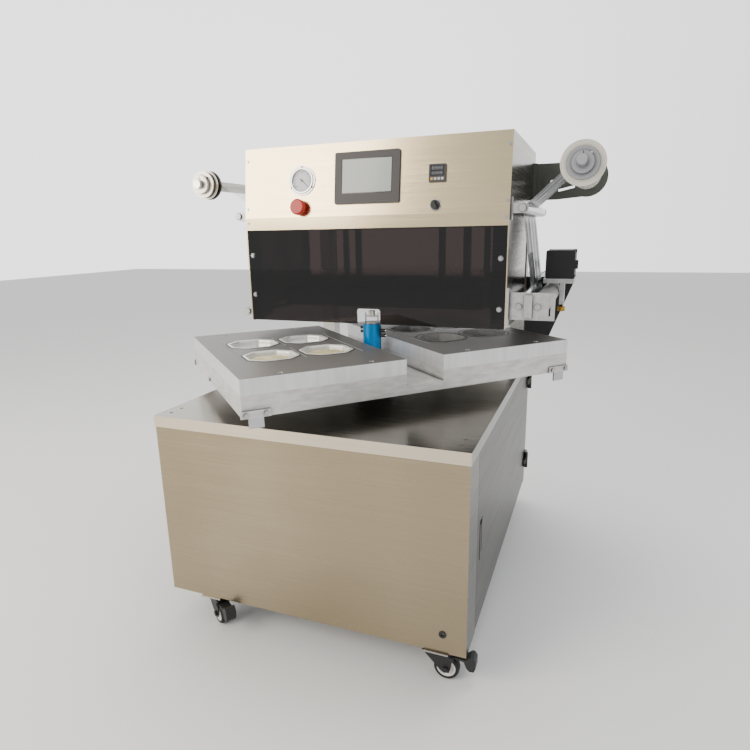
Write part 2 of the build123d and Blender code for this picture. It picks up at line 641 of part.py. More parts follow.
def guard_window():
    """Tinted acrylic sheet across the front, with its four screw holes."""
    x = HEAD_HALF - SKIRT_PLATE_T
    window = block(-x, x, HEAD_FRONT, HEAD_FRONT + GUARD_T, GUARD_BOTTOM, STRIP_BOTTOM)
    for sx, z in guard_screw_places():
        window -= rod_y(sx, z, 3.3, HEAD_FRONT - 1, HEAD_FRONT + GUARD_T + 1)
    notch = block(-NOTCH_W / 2, NOTCH_W / 2, HEAD_FRONT - 1, HEAD_FRONT + GUARD_T + 1,
                  GUARD_BOTTOM - NOTCH_H, GUARD_BOTTOM + NOTCH_H)
    return window - fillet(notch.edges().filter_by(Axis.Y), 8)


def guard_screw_places():
    x = HEAD_HALF - SKIRT_PLATE_T - GUARD_BAR_W / 2 + 4
    places = []
    for sx, heights in ((-1, (985.0, 862.0)), (1, (975.0, 836.0))):
        for z in heights:
            places.append((sx * x, z))
    return places


def guard_bars():
    """The flat bars behind the window's side edges."""
    bars = []
    x1 = HEAD_HALF - SKIRT_PLATE_T
    for sx in (-1, 1):
        x0, xa = sorted((sx * x1, sx * (x1 - GUARD_BAR_W)))
        bar = block(x0, xa, HEAD_FRONT + GUARD_T, HEAD_FRONT + GUARD_T + GUARD_BAR_T,
                    GUARD_BOTTOM, STRIP_BOTTOM)
        for x, z in guard_screw_places():
            bar -= rod_y(x, z, 3.0, HEAD_FRONT, HEAD_FRONT + GUARD_T + GUARD_BAR_T + 1)
        bars.append(bar)
    return bars


def panel_screw_places():
    """x, and height up the slope, of the button screws along both sides of the panel."""
    x = HEAD_HALF - 8
    places = []
    for sx in (-1, 1):
        for up in (28.0, 172.0):
            places.append((sx * x, up))
    return places


def fasteners():
    """Guard screws, panel screws, arm screws, the selector's bright ring and the union bolts."""
    pieces = []
    for x, z in guard_screw_places():
        pieces.append(ring_y(x, z, 7.5, 3.2, HEAD_FRONT - 1.5, HEAD_FRONT)
                      + rod_y(x, z, 3.0, HEAD_FRONT - 1.5, HEAD_FRONT + GUARD_T + GUARD_BAR_T)
                      + rod_y(x, z, 5.5, HEAD_FRONT - 5.0, HEAD_FRONT - 1.5))
    for x, up in panel_screw_places():
        pieces.append(on_panel(rod_y(x, up, 4.5, -2.5, 0)))
    for sx in (-1, 1):
        pieces.append(rod_y(sx * (HEAD_HALF - 8), PANEL_BEND - 15, 4.5, HEAD_FRONT - 2.5, HEAD_FRONT))
    ring = on_panel(ring_y(SELECTOR_X, SELECTOR_UP, 15.0, SELECTOR_R + 0.3, -3.0, 0))
    pieces.append(ring)
    return solids_of(*pieces)


def touch_panel():
    """Operator panel: bezel with a recessed screen and the housing behind the sheet."""
    w, h, up = HMI_W, HMI_H, HMI_UP + HMI_H / 2
    bezel = block(-w / 2, w / 2, -7, 0, up - h / 2, up + h / 2)
    bezel = fillet(bezel.edges().filter_by(Axis.Y), 5)
    bezel -= block(-78, 78, -8, -5.2, up - 44, up + 54)
    housing = block(-w / 2 + 7.5, w / 2 - 7.5, 0, 32, up - h / 2 + 7.5, up + h / 2 - 7.5)
    return on_panel(bezel + housing)


def vacuum_gauge():
    """Round gauge: flange, case and dial floor; the needle turns in front of the dial."""
    body = rod_y(GAUGE_X, GAUGE_UP, GAUGE_FLANGE_R, -3, 0)
    body += rod_y(GAUGE_X, GAUGE_UP, GAUGE_R, 0, 26)
    body += ring_y(GAUGE_X, GAUGE_UP, GAUGE_R + 4, GAUGE_R, -6, -3)
    body -= rod_y(GAUGE_X, GAUGE_UP, GAUGE_R, -7, -1)
    for k in range(3):
        angle = radians(90 + 120 * k)
        x = GAUGE_X + (GAUGE_FLANGE_R - 4) * cos(angle)
        z = GAUGE_UP + (GAUGE_FLANGE_R - 4) * sin(angle)
        body += rod_y(x, z, 2.6, -4.2, -2.5)
    pivot = rod_y(GAUGE_X, GAUGE_UP, 1.5, -4.5, 0)
    return on_panel(body + pivot)


def gauge_needle():
    """Needle with its counterweight, turned to where it stands in the open machine."""
    needle = Polyline((-8, -1.6), (22, -0.5), (22, 0.5), (-8, 1.6), close=True)
    flat = extrude(make_face(needle), 0.6)
    flat += Cylinder(3.2, 1.2, align=(Align.CENTER, Align.CENTER, Align.MIN))
    flat -= Cylinder(1.5 + AXLE_FIT, 10)
    turned = Pos(GAUGE_X, -2.6, GAUGE_UP) * Rot(90, 0, 0) * Rot(0, 0, -42) * flat
    return on_panel(turned)


def estop_button():
    """Red mushroom on its plunger."""
    head = rod_y(ESTOP_X, ESTOP_UP, ESTOP_R, -27, -13)
    head = fillet(head.edges().sort_by(Axis.Y)[:1], 5)
    head += rod_y(ESTOP_X, ESTOP_UP, 9.0, -13, -3)
    return on_panel(head)


def selector_knob():
    """Black rotary knob with a raised grip bar."""
    knob = rod_y(SELECTOR_X, SELECTOR_UP, SELECTOR_R, -9, -0.5)
    grip = block(SELECTOR_X - 3.5, SELECTOR_X + 3.5, -17, -9, SELECTOR_UP - SELECTOR_R + 1,
                 SELECTOR_UP + SELECTOR_R - 1)
    grip = Pos(SELECTOR_X, 0, SELECTOR_UP) * Rot(0, -30, 0) * Pos(-SELECTOR_X, 0, -SELECTOR_UP) * grip
    return on_panel(knob + grip)


def temperature_controller():
    """Square process controller with a recessed face and four keys, and the two switch bodies."""
    w, up = CONTROLLER_W, CONTROLLER_UP
    body = block(CONTROLLER_X - w / 2, CONTROLLER_X + w / 2, -6, 0, up - w / 2, up + w / 2)
    body = fillet(body.edges().filter_by(Axis.Y), 2)
    body -= block(CONTROLLER_X - 20, CONTROLLER_X + 20, -7, -4.8, up - 8, up + 20)
    body += block(CONTROLLER_X - w / 2 + 2, CONTROLLER_X + w / 2 - 2, 0, 80, up - w / 2 + 2,
                  up + w / 2 - 2)
    for k in range(4):
        x = CONTROLLER_X - 15 + 10 * k
        body += block(x - 3.6, x + 3.6, -6.8, -6, up - 19, up - 12)
    estop_collar = rod_y(ESTOP_X, ESTOP_UP, 14, -2.5, 0) + rod_y(ESTOP_X, ESTOP_UP, 11, 0, 45)
    estop_collar -= rod_y(ESTOP_X, ESTOP_UP, 9.0 + AXLE_FIT, -6, 4)
    selector_body = rod_y(SELECTOR_X, SELECTOR_UP, 11, 0, 45)
    return on_panel(solids_of(body, estop_collar, selector_body))


# ---------------------------------------------------------------- turntable
def turntable():
    """Table plate with its flange and hollow spindle, the two base blocks and the tabs."""
    plate = block(-TABLE_L / 2, TABLE_L / 2, -TABLE_W / 2, TABLE_W / 2, TABLE_BOTTOM, BASE_Z)
    plate += rod_z(0, 0, HUB_R + 30, TABLE_BOTTOM - FLANGE_T, TABLE_BOTTOM + 1)
    plate += rod_z(0, 0, SPINDLE_R, SPINDLE_Z, TABLE_BOTTOM)
    plate += rod_z(0, 0, SPINDLE_R - 10, SPINDLE_Z - 14, SPINDLE_Z)
    plate -= rod_z(0, 0, PIPE_R + 1, SPINDLE_Z - 15, BASE_Z + 1)
    return solids_of(on_table(plate), *mould_bases(), *table_tabs())


def mould_bases():
    """The two base blocks between the table plate and the moulds."""
    pieces = []
    for side in (-1, 1):
        u = side * MOULD_U
        base = block(u - MOULD_L / 2, u + MOULD_L / 2, -TABLE_W / 2, TABLE_W / 2, BASE_Z, MOULD_Z)
        pieces.append(on_table(base))
    return pieces


def cavity_places(side):
    """Centres of one mould's four cavities; side is -1 or +1 along the table."""
    return [(-side * u, v) for u in CAVITY_U for v in CAVITY_V]


def groove(u, v0, v1):
    return block(u - 1.5, u + 1.5, v0, v1, MOULD_TOP - 2, MOULD_TOP + 1)


def lower_moulds():
    """The two moulds at the ends of the table."""
    return solids_of(lower_mould(-1), lower_mould(1))


def lower_mould(side):
    """One mould with four cut-corner cavities, vacuum grooves and its corner screws."""
    u0, u1 = sorted((side * MOULD_GAP / 2, side * TABLE_L / 2))
    mould = block(u0, u1, -TABLE_W / 2, TABLE_W / 2, MOULD_Z, MOULD_TOP)
    for u, v in cavity_places(side):
        mould -= Pos(u, v, 0) * octagon_block(CAVITY_L, CAVITY_W, CAVITY_CUT,
                                              MOULD_TOP - CAVITY_DEPTH, MOULD_TOP + 1)
    for u in (GROOVE_FAR, GROOVE_NEAR):
        mould -= groove(side * u, -165, 165)
    for v in (-1, 1):
        v0, v1 = sorted((v * 20, v * 165))
        mould -= groove(side * MOULD_U, v0, v1)
    for u, v in mould_screw_places(side):
        mould -= rod_z(u, v, 7, MOULD_TOP - 8, MOULD_TOP + 1)
    return on_table(mould)


def mould_screw_places(side):
    return [(side * u, v * 303) for u in (146, 385) for v in (-1, 1)]


def table_hardware():
    """Union elbows, and the screws in the moulds, on the tabs and on the table's ends."""
    pieces = union_fittings()
    for side in (-1, 1):
        for u, v in mould_screw_places(side):
            head = rod_z(u, v, 6, MOULD_TOP - 8, MOULD_TOP - 1)
            head -= Pos(u, v, MOULD_TOP - 4) * extrude(RegularPolygon(3, 6), 4)
            pieces.append(on_table(head))
    for su in (-1, 1):
        for sv in (-1, 1):
            for du in (-24, 24):
                u = su * TAB_U + du
                y0, y1 = sorted((sv * (TABLE_W / 2 + TAB_T), sv * (TABLE_W / 2 + TAB_T + 4)))
                pieces.append(on_table(rod_y(u, TAB_SCREW_Z, 5, y0, y1)))
        x0, x1 = sorted((su * TABLE_L / 2, su * (TABLE_L / 2 + 4)))
        pieces.append(on_table(rod_x(su * -72, TAB_SCREW_Z - 2, 5, x0, x1)))
    return solids_of(*pieces)


def table_tabs():
    """T-shaped tabs screwed to the long edges, for the position switches under the table."""
    pieces = []
    for su in (-1, 1):
        for sv in (-1, 1):
            u = su * TAB_U
            y0, y1 = sorted((sv * TABLE_W / 2, sv * (TABLE_W / 2 + TAB_T)))
            tab = block(u - 36, u + 36, y0, y1, TABLE_BOTTOM, TABLE_BOTTOM + 18)
            tab += block(u - 18, u + 18, y0, y1, TAB_BOTTOM, TABLE_BOTTOM + 1)
            pieces.append(on_table(tab))
    return pieces


def tray_outline(grow):
    return octagon(CAVITY_L - 2 * TRAY_GAP + 2 * grow, CAVITY_W - 2 * TRAY_GAP + 2 * grow,
                   CAVITY_CUT + grow * (sqrt(2) - 1) * sqrt(2) / 2)


def tray(index):
    """Thin-walled tray with a sealing lip, hanging in its cavity."""
    u, v = cavity_places(-1)[index]
    lip_z = MOULD_TOP + TRAY_SEAT
    z0 = lip_z + TRAY_T - TRAY_H
    shell = plan(tray_outline(-0.5), z0, lip_z + TRAY_T)
    shell += plan(tray_outline(TRAY_LIP), lip_z, lip_z + TRAY_T)
    shell -= plan(tray_outline(-0.5 - TRAY_T), z0 + TRAY_T, lip_z + TRAY_T + 1)
    return on_table(Pos(u, v, 0) * shell)


def union_body():
    """Blue rotary union on the table, with its side ports."""
    y = TABLE_Y
    body = rod_z(0, y, UNION_R, BASE_Z, UNION_TOP)
    body -= ring_z(0, y, UNION_R + 1, UNION_R - 1.5, UNION_TOP - 42, UNION_TOP - 39)
    body -= ring_z(0, y, UNION_R + 1, UNION_R - 1.5, UNION_TOP - 78, UNION_TOP - 75)
    body -= rod_z(0, y, PIPE_R + AXLE_FIT, BASE_Z - 1, UNION_TOP + 1)
    return body


def union_fittings():
    """Hose elbows screwed into the side of the union."""
    pieces = []
    for z in (742.0, 757.0):
        elbow = rod_x(TABLE_Y, z, 5.5, UNION_R, UNION_R + 16)
        elbow += rod_x(TABLE_Y, z, 4.0, UNION_R + 16, UNION_R + 20)
        pieces.append(elbow)
    for z in (753.0, 765.0):
        pieces.append(rod_x(TABLE_Y, z, 4.5, -UNION_R - 9, -UNION_R))
    fits = []
    for piece in pieces:
        fits.append(piece - rod_z(0, TABLE_Y, UNION_R, BASE_Z, UNION_TOP))
    return fits


def union_stator():
    """Fixed centre pipe of the union, with the sensor bridge on top."""
    y = TABLE_Y
    pipe = rod_z(0, y, PIPE_R, SPINDLE_Z - 60, UNION_TOP + 0.5)
    pipe += rod_z(0, y, UNION_R - 4, UNION_TOP + 0.5, UNION_TOP + 5)
    for sx in (-1, 1):
        pipe += rod_z(sx * 20, y, 2.0, UNION_TOP + 5, UNION_TOP + 33)
        pipe += block(*sorted((sx * 1.0, sx * 8)), y - 7, y + 7, UNION_TOP + 25, UNION_TOP + 40)
    pipe += block(-22, 22, y - 4, y + 4, UNION_TOP + 20, UNION_TOP + 25)
    pipe -= rod_z(0, y, PIPE_R - 4, SPINDLE_Z - 61, UNION_TOP - 5)
    return pipe


def table_bearing():
    """Bearing housing standing on the cross tubes, through the lid's opening."""
    y = TABLE_Y
    top = TABLE_BOTTOM - FLANGE_T - 0.5
    floor = SHELL_TOP
    housing = ring_z(0, y, HUB_R, SPINDLE_R + AXLE_FIT, floor - TUBE, top)
    housing += ring_z(0, y, HUB_R + 5, SPINDLE_R + AXLE_FIT, floor - TUBE - 12, floor - TUBE)
    beam = HUB_R + 20 - TUBE / 2
    housing += block(-HUB_R - 5, HUB_R + 5, y - beam - TUBE, y + beam + TUBE,
                     floor - TUBE - 12, floor - TUBE)
    housing -= rod_z(0, y, SPINDLE_R + AXLE_FIT, floor - TUBE - 20, top + 1)
    return housing


def table_drive():
    """Bearing housing with the indexing gearmotor hung under it."""
    return solids_of(table_bearing(), table_gearmotor())


def table_gearmotor():
    """Gearbox on four posts with its upright motor, bored for the fixed pipe."""
    y = TABLE_Y
    top = SHELL_TOP - TUBE - 12
    box_top = SPINDLE_Z - 15
    body = block(-75, 75, y - 75, y + 75, box_top - 110, box_top)
    body = fillet(body.edges().filter_by(Axis.Z), 12)
    for sx in (-1, 1):
        for sy in (-1, 1):
            body += rod_z(sx * 55, y + sy * 55, 8, box_top, top)
    body += rod_z(150, y, 58, box_top - 106, box_top - 104 + 190)
    body += block(60, 150, y - 50, y + 50, box_top - 106, box_top - 10)
    body -= rod_z(0, y, PIPE_R, box_top - 112, box_top + 1)
    return body


# ---------------------------------------------------------------- cabinet contents
def vacuum_pump():
    """Rotary vane pump with its motor, standing on the bottom pan."""
    z0 = CAB_BOTTOM + PAN_T
    x0, y0 = -230.0, -200.0
    pump = block(x0 - 100, x0 + 100, y0 - 210, y0 + 30, z0 + 20, z0 + 230)
    pump = fillet(pump.edges(), 12)
    pump += rod_y(x0, z0 + 120, 82, y0 + 20, y0 + 190)
    pump += rod_y(x0, z0 + 120, 88, y0 + 190, y0 + 240)
    pump += rod_z(x0 - 40, y0 - 120, 30, z0 + 225, z0 + 300)
    for sx in (-1, 1):
        for dy in (-180, 0):
            pump += rod_z(x0 + sx * 70, y0 + dy, 18, z0, z0 + 40)
    return pump


def electrics():
    """Switchgear on its mounting plate at the back of the cabinet."""
    y1 = SHELL_Y - SHEET - TUBE
    z0 = CAB_BOTTOM + PAN_T + TUBE
    plate = block(-300, 140, y1 - 3, y1, z0 - 20, z0 + 360)
    pieces = [plate]
    for x0, x1, z, h, deep in ((-280, -170, 230, 110, 95), (-150, -60, 240, 90, 80),
                               (-40, 100, 220, 130, 110), (-280, 100, 110, 60, 55),
                               (-280, -120, 20, 70, 75), (-90, 90, 20, 70, 60)):
        pieces.append(block(x0, x1, y1 - 3 - deep, y1 - 3, z0 + z - 10, z0 + z + h - 10))
    whole = pieces[0]
    for piece in pieces[1:]:
        whole += piece
    return whole


def cabinet_fittings():
    """Black fittings: door knuckles, the mains gland and the bush of the front hole."""
    y = SHELL_Y
    gland = ring_y(-300, 150, 14, 6, y, y + 16)
    gland += ring_y(-300, 150, 10, 6, y + 16, y + 26)
    bush = ring_y(CABLE_HOLE_X, CABLE_HOLE_Z, CABLE_HOLE_R, 4.5, -y - 1.5, -y + SHEET)
    bush += ring_y(CABLE_HOLE_X, CABLE_HOLE_Z, CABLE_HOLE_R + 2.5, 4.5, -y - 1.5, -y)
    return solids_of(gland, bush, *fixed_knuckles())


# ---------------------------------------------------------------- film
def line_angle(a, b):
    """Direction of the straight run between two rollers, each (x, z, radius, turn)."""
    dx, dz = b[0] - a[0], b[1] - a[1]
    lean = (b[3] * b[2] - a[3] * a[2]) / hypot(dx, dz)
    return atan2(dz, dx) - atan2(lean, sqrt(1 - lean * lean))


def film_centre(stations):
    """Points and directions along a film that passes the stations; turn is +1 to the left."""
    points = []
    angles = [line_angle(a, b) for a, b in zip(stations, stations[1:])]
    angles = [angles[0]] + angles + [angles[-1]]
    for station, before, after in zip(stations, angles, angles[1:]):
        x, z, radius, turn = station
        sweep = (after - before + pi) % (2 * pi) - pi
        steps = max(1, int(abs(degrees(sweep)) / 8))
        if radius == 0:
            steps = 1
            before = before + sweep / 2
            sweep = 0
        for k in range(steps + (1 if radius else 0)):
            angle = before + sweep * k / steps
            points.append((x + turn * radius * sin(angle), z - turn * radius * cos(angle), angle))
    return points


def film_strip(stations):
    """Closed strip of film through the stations, as wide as the web."""
    near, far = [], []
    for x, z, angle in film_centre(stations):
        nx, nz = -sin(angle) * FILM_T / 2, cos(angle) * FILM_T / 2
        near.append((x + nx, z + nz))
        far.append((x - nx, z - nz))
    return profile_xz(near + far[::-1], FILM_FRONT, FILM_REAR)


def around(x, z, radius, turn):
    """A station at a roller: the film's middle runs clear of the roller's skin."""
    return (x, z, radius + FILM_GAP + FILM_T / 2, turn)


def film_infeed():
    """From the supply roll over both left guide rollers to the edge of the upper mould."""
    start = radians(55)
    r = SUPPLY_ROLL_R + FILM_GAP + FILM_T / 2
    top = (SUPPLY_X + r * cos(start), SUPPLY_Z + r * sin(start), 0, 1)
    return film_strip([top,
                       around(-UPPER_GUIDE_X, UPPER_GUIDE_Z, GUIDE_R, -1),
                       around(LOWER_GUIDE_X, LOWER_GUIDE_Z, GUIDE_R, 1),
                       (-TABLE_W / 2 - 3, FILM_Z + FILM_T / 2, 0, 1)])


def film_web():
    """The flat length under the upper mould."""
    x = TABLE_W / 2 + 2
    return block(-x, x, FILM_FRONT, FILM_REAR, FILM_Z, FILM_Z + FILM_T)


def film_outfeed():
    """From the upper mould through the driven rollers and up to the rewind roll."""
    lean = radians(125)
    r = REWIND_ROLL_R + FILM_GAP + FILM_T / 2
    end = (REWIND_X + r * cos(lean), REWIND_Z + r * sin(lean), 0, 1)
    return film_strip([(TABLE_W / 2 + 3, FILM_Z + FILM_T / 2, 0, 1),
                       around(DRIVE_X, NIP_Z, DRIVE_R, 1),
                       around(UPPER_GUIDE_X, UPPER_GUIDE_Z, GUIDE_R, -1),
                       end])


def split_collar(x, z, y0, y1):
    """Clamp collar with its slit and two screws."""
    collar = ring_y(x, z, 28.5, SHAFT_R, y0, y1)
    collar -= block(x - 1, x + 1, y0 - 1, y1 + 1, z + SHAFT_R - 2, z + 40)
    for dy in (-5, 5):
        collar += rod_x((y0 + y1) / 2 + dy, z + 21, 3, x + 14, x + 22)
    return collar


def rewind_reel():
    """Rewind shaft with its core, clamp collar and flanges."""
    x, z = REWIND_X, REWIND_Z
    front = REWIND_FLANGE_Y
    reel = rod_y(x, z, SHAFT_R, front - 100, ARM_Y + ARM_T + 20)
    reel += rod_y(x, z, REWIND_ROLL_R - WOUND_SKIN, front, FILM_REAR + 6)
    reel += split_collar(x, z, front - 27, front - 5)
    reel += rod_y(x, z, 59, front, front + 7)
    reel += rod_y(x, z, 42, front - 5, front)
    reel += rod_y(x, z, 44, front + 7, front + 18)
    reel += rod_y(x, z, 44, FILM_REAR + 6, FILM_REAR + 14)
    return reel


def supply_reel():
    """Supply shaft with its collar and the two cone discs that centre the roll."""
    x, z = SUPPLY_X, SUPPLY_Z
    front = SUPPLY_FLANGE_Y
    reel = rod_y(x, z, SHAFT_R, front - 31, ARM_Y + ARM_T + 10)
    reel += rod_y(x, z, SUPPLY_ROLL_R - WOUND_SKIN, front, FILM_REAR + 6)
    reel += split_collar(x, z, front - 14, front)
    reel += rod_y(x, z, 42, front, front + 6)
    reel += rod_y(x, z, 34, front + 6, front + 14)
    reel += rod_y(x, z, 47, front + 14, front + 22)
    reel += rod_y(x, z, 30, front + 22, front + 32)
    reel += rod_y(x, z, 47, front + 32, front + 42)
    reel += rod_y(x, z, 40, FILM_REAR + 6, FILM_REAR + 14)
    return reel


def belt_loop(a, b, y0, y1):
    """Belt round two pulleys, each (x, z, radius), clear of both by the film gap."""
    dx, dz = b[0] - a[0], b[1] - a[1]
    base = atan2(dz, dx)
    lean = (b[2] - a[2]) / hypot(dx, dz)
    spread = atan2(sqrt(1 - lean * lean), -lean)
    outlines = []
    for extra in (FILM_GAP, FILM_GAP + BELT_T):
        points = []
        for centre, first, last in ((a, base + spread, base + 2 * pi - spread),
                                    (b, base - spread, base + spread)):
            for k in range(13):
                angle = first + (last - first) * k / 12
                r = centre[2] + extra
                points.append((centre[0] + r * cos(angle), centre[1] + r * sin(angle)))
        outlines.append(points)
    return profile_xz(outlines[1], y0, y1) - profile_xz(outlines[0], y0 - 1, y1 + 1)


def drive_belt():
    return belt_loop((DRIVE_X, NIP_Z, DRIVE_PULLEY_R), (MOTOR_X, MOTOR_Z, MOTOR_PULLEY_R),
                     DRIVE_BELT_Y, DRIVE_BELT_Y + 9)


def right_arm():
    """Rear arm plate with its ribbed flange, reel bearing and drive boss."""
    y0, y1 = ARM_Y, ARM_Y + ARM_T
    boss = REWIND_BOSS_R
    low = REWIND_Z - boss
    points = [(HEAD_HALF, ARM_BOTTOM), (HEAD_HALF + 77, ARM_BOTTOM), (REWIND_X - 14, low + 1.2),
              (REWIND_X, ARM_TOP - 0.5), (HEAD_HALF, ARM_TOP)]
    plate = profile_xz(points, y0, y1)
    plate += rod_y(REWIND_X, REWIND_Z, boss, y0, y1)
    plate += rod_y(REWIND_X, REWIND_Z, 24, y0 - 14, y0)
    plate += rod_y(ARM_CAP_X, ARM_CAP_Z, 30, y0 - 4, y0)
    slot = Pos(HEAD_HALF + 108, 0, 1183) * Rot(0, -12, 0) * block(-27, 27, y0 - 1, y1 + 1, -4, 4)
    plate -= slot
    plate += block(HEAD_HALF, HEAD_HALF + 5, y0 - 22, y0, ARM_BOTTOM + 10, ARM_TOP)
    for k in range(3):
        y = y0 - 20 + 7 * k
        plate += block(HEAD_HALF + 5, HEAD_HALF + 11, y, y + 3, ARM_BOTTOM + 10, ARM_TOP)
    plate -= rod_y(REWIND_X, REWIND_Z, SHAFT_R + AXLE_FIT, y0 - 20, y1 + 1)
    plate -= rod_y(ARM_CAP_X, ARM_CAP_Z, 6, y0 - 20, y1 + 1)
    return plate


def left_arm():
    """Rear arm plate of the supply side."""
    y0, y1 = ARM_Y, ARM_Y + ARM_T
    boss = SUPPLY_BOSS_R
    points = [(-HEAD_HALF, ARM_BOTTOM), (-HEAD_HALF - 77, ARM_BOTTOM),
              (SUPPLY_X - 4, SUPPLY_Z - boss + 0.4),
              (SUPPLY_X, SUPPLY_Z + boss), (-HEAD_HALF, ARM_TOP)]
    plate = profile_xz(points, y0, y1)
    plate += rod_y(SUPPLY_X, SUPPLY_Z, boss, y0 - 14, y1)
    plate += block(-HEAD_HALF - 5, -HEAD_HALF, y0 - 22, y0, ARM_BOTTOM + 10, ARM_TOP)
    plate -= rod_y(SUPPLY_X, SUPPLY_Z, SHAFT_R + AXLE_FIT, y0 - 20, y1 + 1)
    return plate


def rewind_motor():
    """Rewind gearmotor on the back of the right arm, in line with the reel."""
    y0 = ARM_Y + ARM_T
    motor = rod_y(REWIND_X, REWIND_Z, 30, y0, y0 + 30) + rod_y(REWIND_X, REWIND_Z, 27, y0, y0 + REWIND_MOTOR_L)
    motor -= rod_y(REWIND_X, REWIND_Z, SHAFT_R + AXLE_FIT, y0 - 1, y0 + 22)
    return motor


# ---------------------------------------------------------------- rollers and their brackets
def guide_roller(x, z):
    """Idle roller turning on a fixed axle."""
    tube = ring_y(x, z, GUIDE_R, GUIDE_AXLE_R + AXLE_FIT, ROLLER_FRONT, ROLLER_REAR)
    return tube


def guide_bracket(x, z, root, y0, y1):
    """Plate from the machine's side to an axle end; root is the x of the face it is fixed to."""
    side = 1 if x > 0 else -1
    a, b = sorted((root, x + side * 6))
    plate = block(a, b, y0, y1, z - 13, z + 13)
    plate += rod_y(x + side * 2, z, 13, y0, y1)
    return plate


def guide_frame(x, z, rear_root):
    """Both brackets of one idle roller, the axle between them and its two bolts."""
    side = 1 if x > 0 else -1
    wall = side * HEAD_HALF
    y0, y1 = BRACKET_FRONT - BRACKET_T, BRACKET_FRONT
    frame = guide_bracket(x, z, wall, y0, y1)
    a, b = sorted((wall, wall + side * 5))
    frame += block(a, b, y0, y1 + 2, z - 30, z + 30)
    frame += guide_bracket(x, z, side * rear_root, BRACKET_REAR, BRACKET_REAR + BRACKET_T)
    frame += rod_y(x, z, GUIDE_AXLE_R, y0, BRACKET_REAR + BRACKET_T)
    frame += rod_y(x, z, 9, y0 - 6, y0)
    frame += rod_y(x, z, 9, BRACKET_REAR + BRACKET_T, BRACKET_REAR + BRACKET_T + 6)
    return frame


def roller_brackets():
    """All roller supports fixed to the machine's sides."""
    return solids_of(roller_front_plate(),
                     guide_frame(UPPER_GUIDE_X, UPPER_GUIDE_Z, HEAD_HALF),
                     guide_frame(-UPPER_GUIDE_X, UPPER_GUIDE_Z, HEAD_HALF),
                     guide_frame(LOWER_GUIDE_X, LOWER_GUIDE_Z, COLUMN_X + COLUMN / 2))


def roller_front_plate():
    """Front bearing plate of the two driven rollers, with its slots and side flange."""
    y0, y1 = BRACKET_FRONT - BRACKET_T, BRACKET_FRONT
    x1 = PRESSURE_X + 45
    plate = block(HEAD_HALF, x1, y0, y1, 807, 882)
    plate += block(HEAD_HALF, HEAD_HALF + 6, HEAD_FRONT, y1, 785, 895)
    middle = (DRIVE_X + PRESSURE_X) / 2
    plate += block(middle - 11, middle + 11, y0 - 5, y0, 813, 876)
    plate -= block(x1 - 16, x1 - 11, y0 - 1, y1 + 1, 819, 870)
    for x in (DRIVE_X, PRESSURE_X):
        plate -= rod_y(x, NIP_Z, ROLLER_SHAFT_R + AXLE_FIT, y0 - 10, y1 + 1)
    return plate


def motor_bracket():
    """Rear plate on the column with the rollers' rear bearings, and the motor shelf on it."""
    return solids_of(rear_plate(), motor_shelf())


def rear_plate():
    y0, y1 = REAR_PLATE_Y, REAR_PLATE_Y + BRACKET_T
    x0 = COLUMN_X + COLUMN / 2
    low = LID_TOP + FOOT_T
    x1 = HEAD_HALF + 152
    points = [(x0, low), (HEAD_HALF + 48, low), (HEAD_HALF + 81, 683), (x1, 869), (x1, SHELF_Z),
              (x0, SHELF_Z)]
    plate = profile_xz(points, y0, y1)
    for x in (DRIVE_X, PRESSURE_X):
        plate -= rod_y(x, NIP_Z, ROLLER_SHAFT_R + AXLE_FIT, y0 - 1, y1 + 1)
    return plate


def drive_roller():
    """Knurled drive roller with its shaft and toothed pulley."""
    x, z = DRIVE_X, NIP_Z
    roller = rod_y(x, z, DRIVE_R, ROLLER_FRONT, ROLLER_REAR)
    roller += rod_y(x, z, ROLLER_SHAFT_R, BRACKET_FRONT - BRACKET_T - 4, DRIVE_BELT_Y + 14)
    roller += rod_y(x, z, DRIVE_PULLEY_R, DRIVE_BELT_Y - 1, DRIVE_BELT_Y + 10)
    return roller


def pressure_roller():
    """Rubber-covered counter roller."""
    x, z = PRESSURE_X, NIP_Z
    roller = rod_y(x, z, PRESSURE_R, ROLLER_FRONT, ROLLER_REAR)
    roller = fillet(roller.edges(), 2)
    roller += rod_y(x, z, ROLLER_SHAFT_R, BRACKET_FRONT - BRACKET_T - 4, REAR_PLATE_Y + BRACKET_T + 4)
    return roller


def motor_shelf():
    """Shelf on the rear plate, the motor's face plate, and the post of the nip screw."""
    x0, x1 = MOTOR_X - MOTOR_SIZE / 2 - 4, MOTOR_X + MOTOR_SIZE / 2
    shelf_top = MOTOR_Z - MOTOR_SIZE / 2
    y0, y1 = MOTOR_FRONT - 3, REAR_PLATE_Y + BRACKET_T
    shelf = block(x0, x1, y0, y1, SHELF_Z, shelf_top)
    face = MOTOR_FRONT + MOTOR_LENGTH
    shelf += block(x0 + 4, x1, face, face + 10, shelf_top, MOTOR_Z + MOTOR_SIZE / 2)
    shelf -= rod_y(MOTOR_X, MOTOR_Z, 22, face - 1, face + 11)
    shelf += block(KNOB_X - 7, KNOB_X + 7, 340, 380, KNOB_Z + 20, SHELF_Z)
    shelf -= rod_z(KNOB_X, 360, 4 + AXLE_FIT, KNOB_Z, KNOB_Z + 52)
    return shelf


def nip_knob():
    """Knurled brass knob that sets the nip pressure."""
    knob = rod_z(KNOB_X, 360, 12, KNOB_Z - 4, KNOB_Z + 12)
    knob = fillet(knob.edges(), 1.5)
    knob += rod_z(KNOB_X, 360, 4, KNOB_Z + 12, KNOB_Z + 50)
    return knob


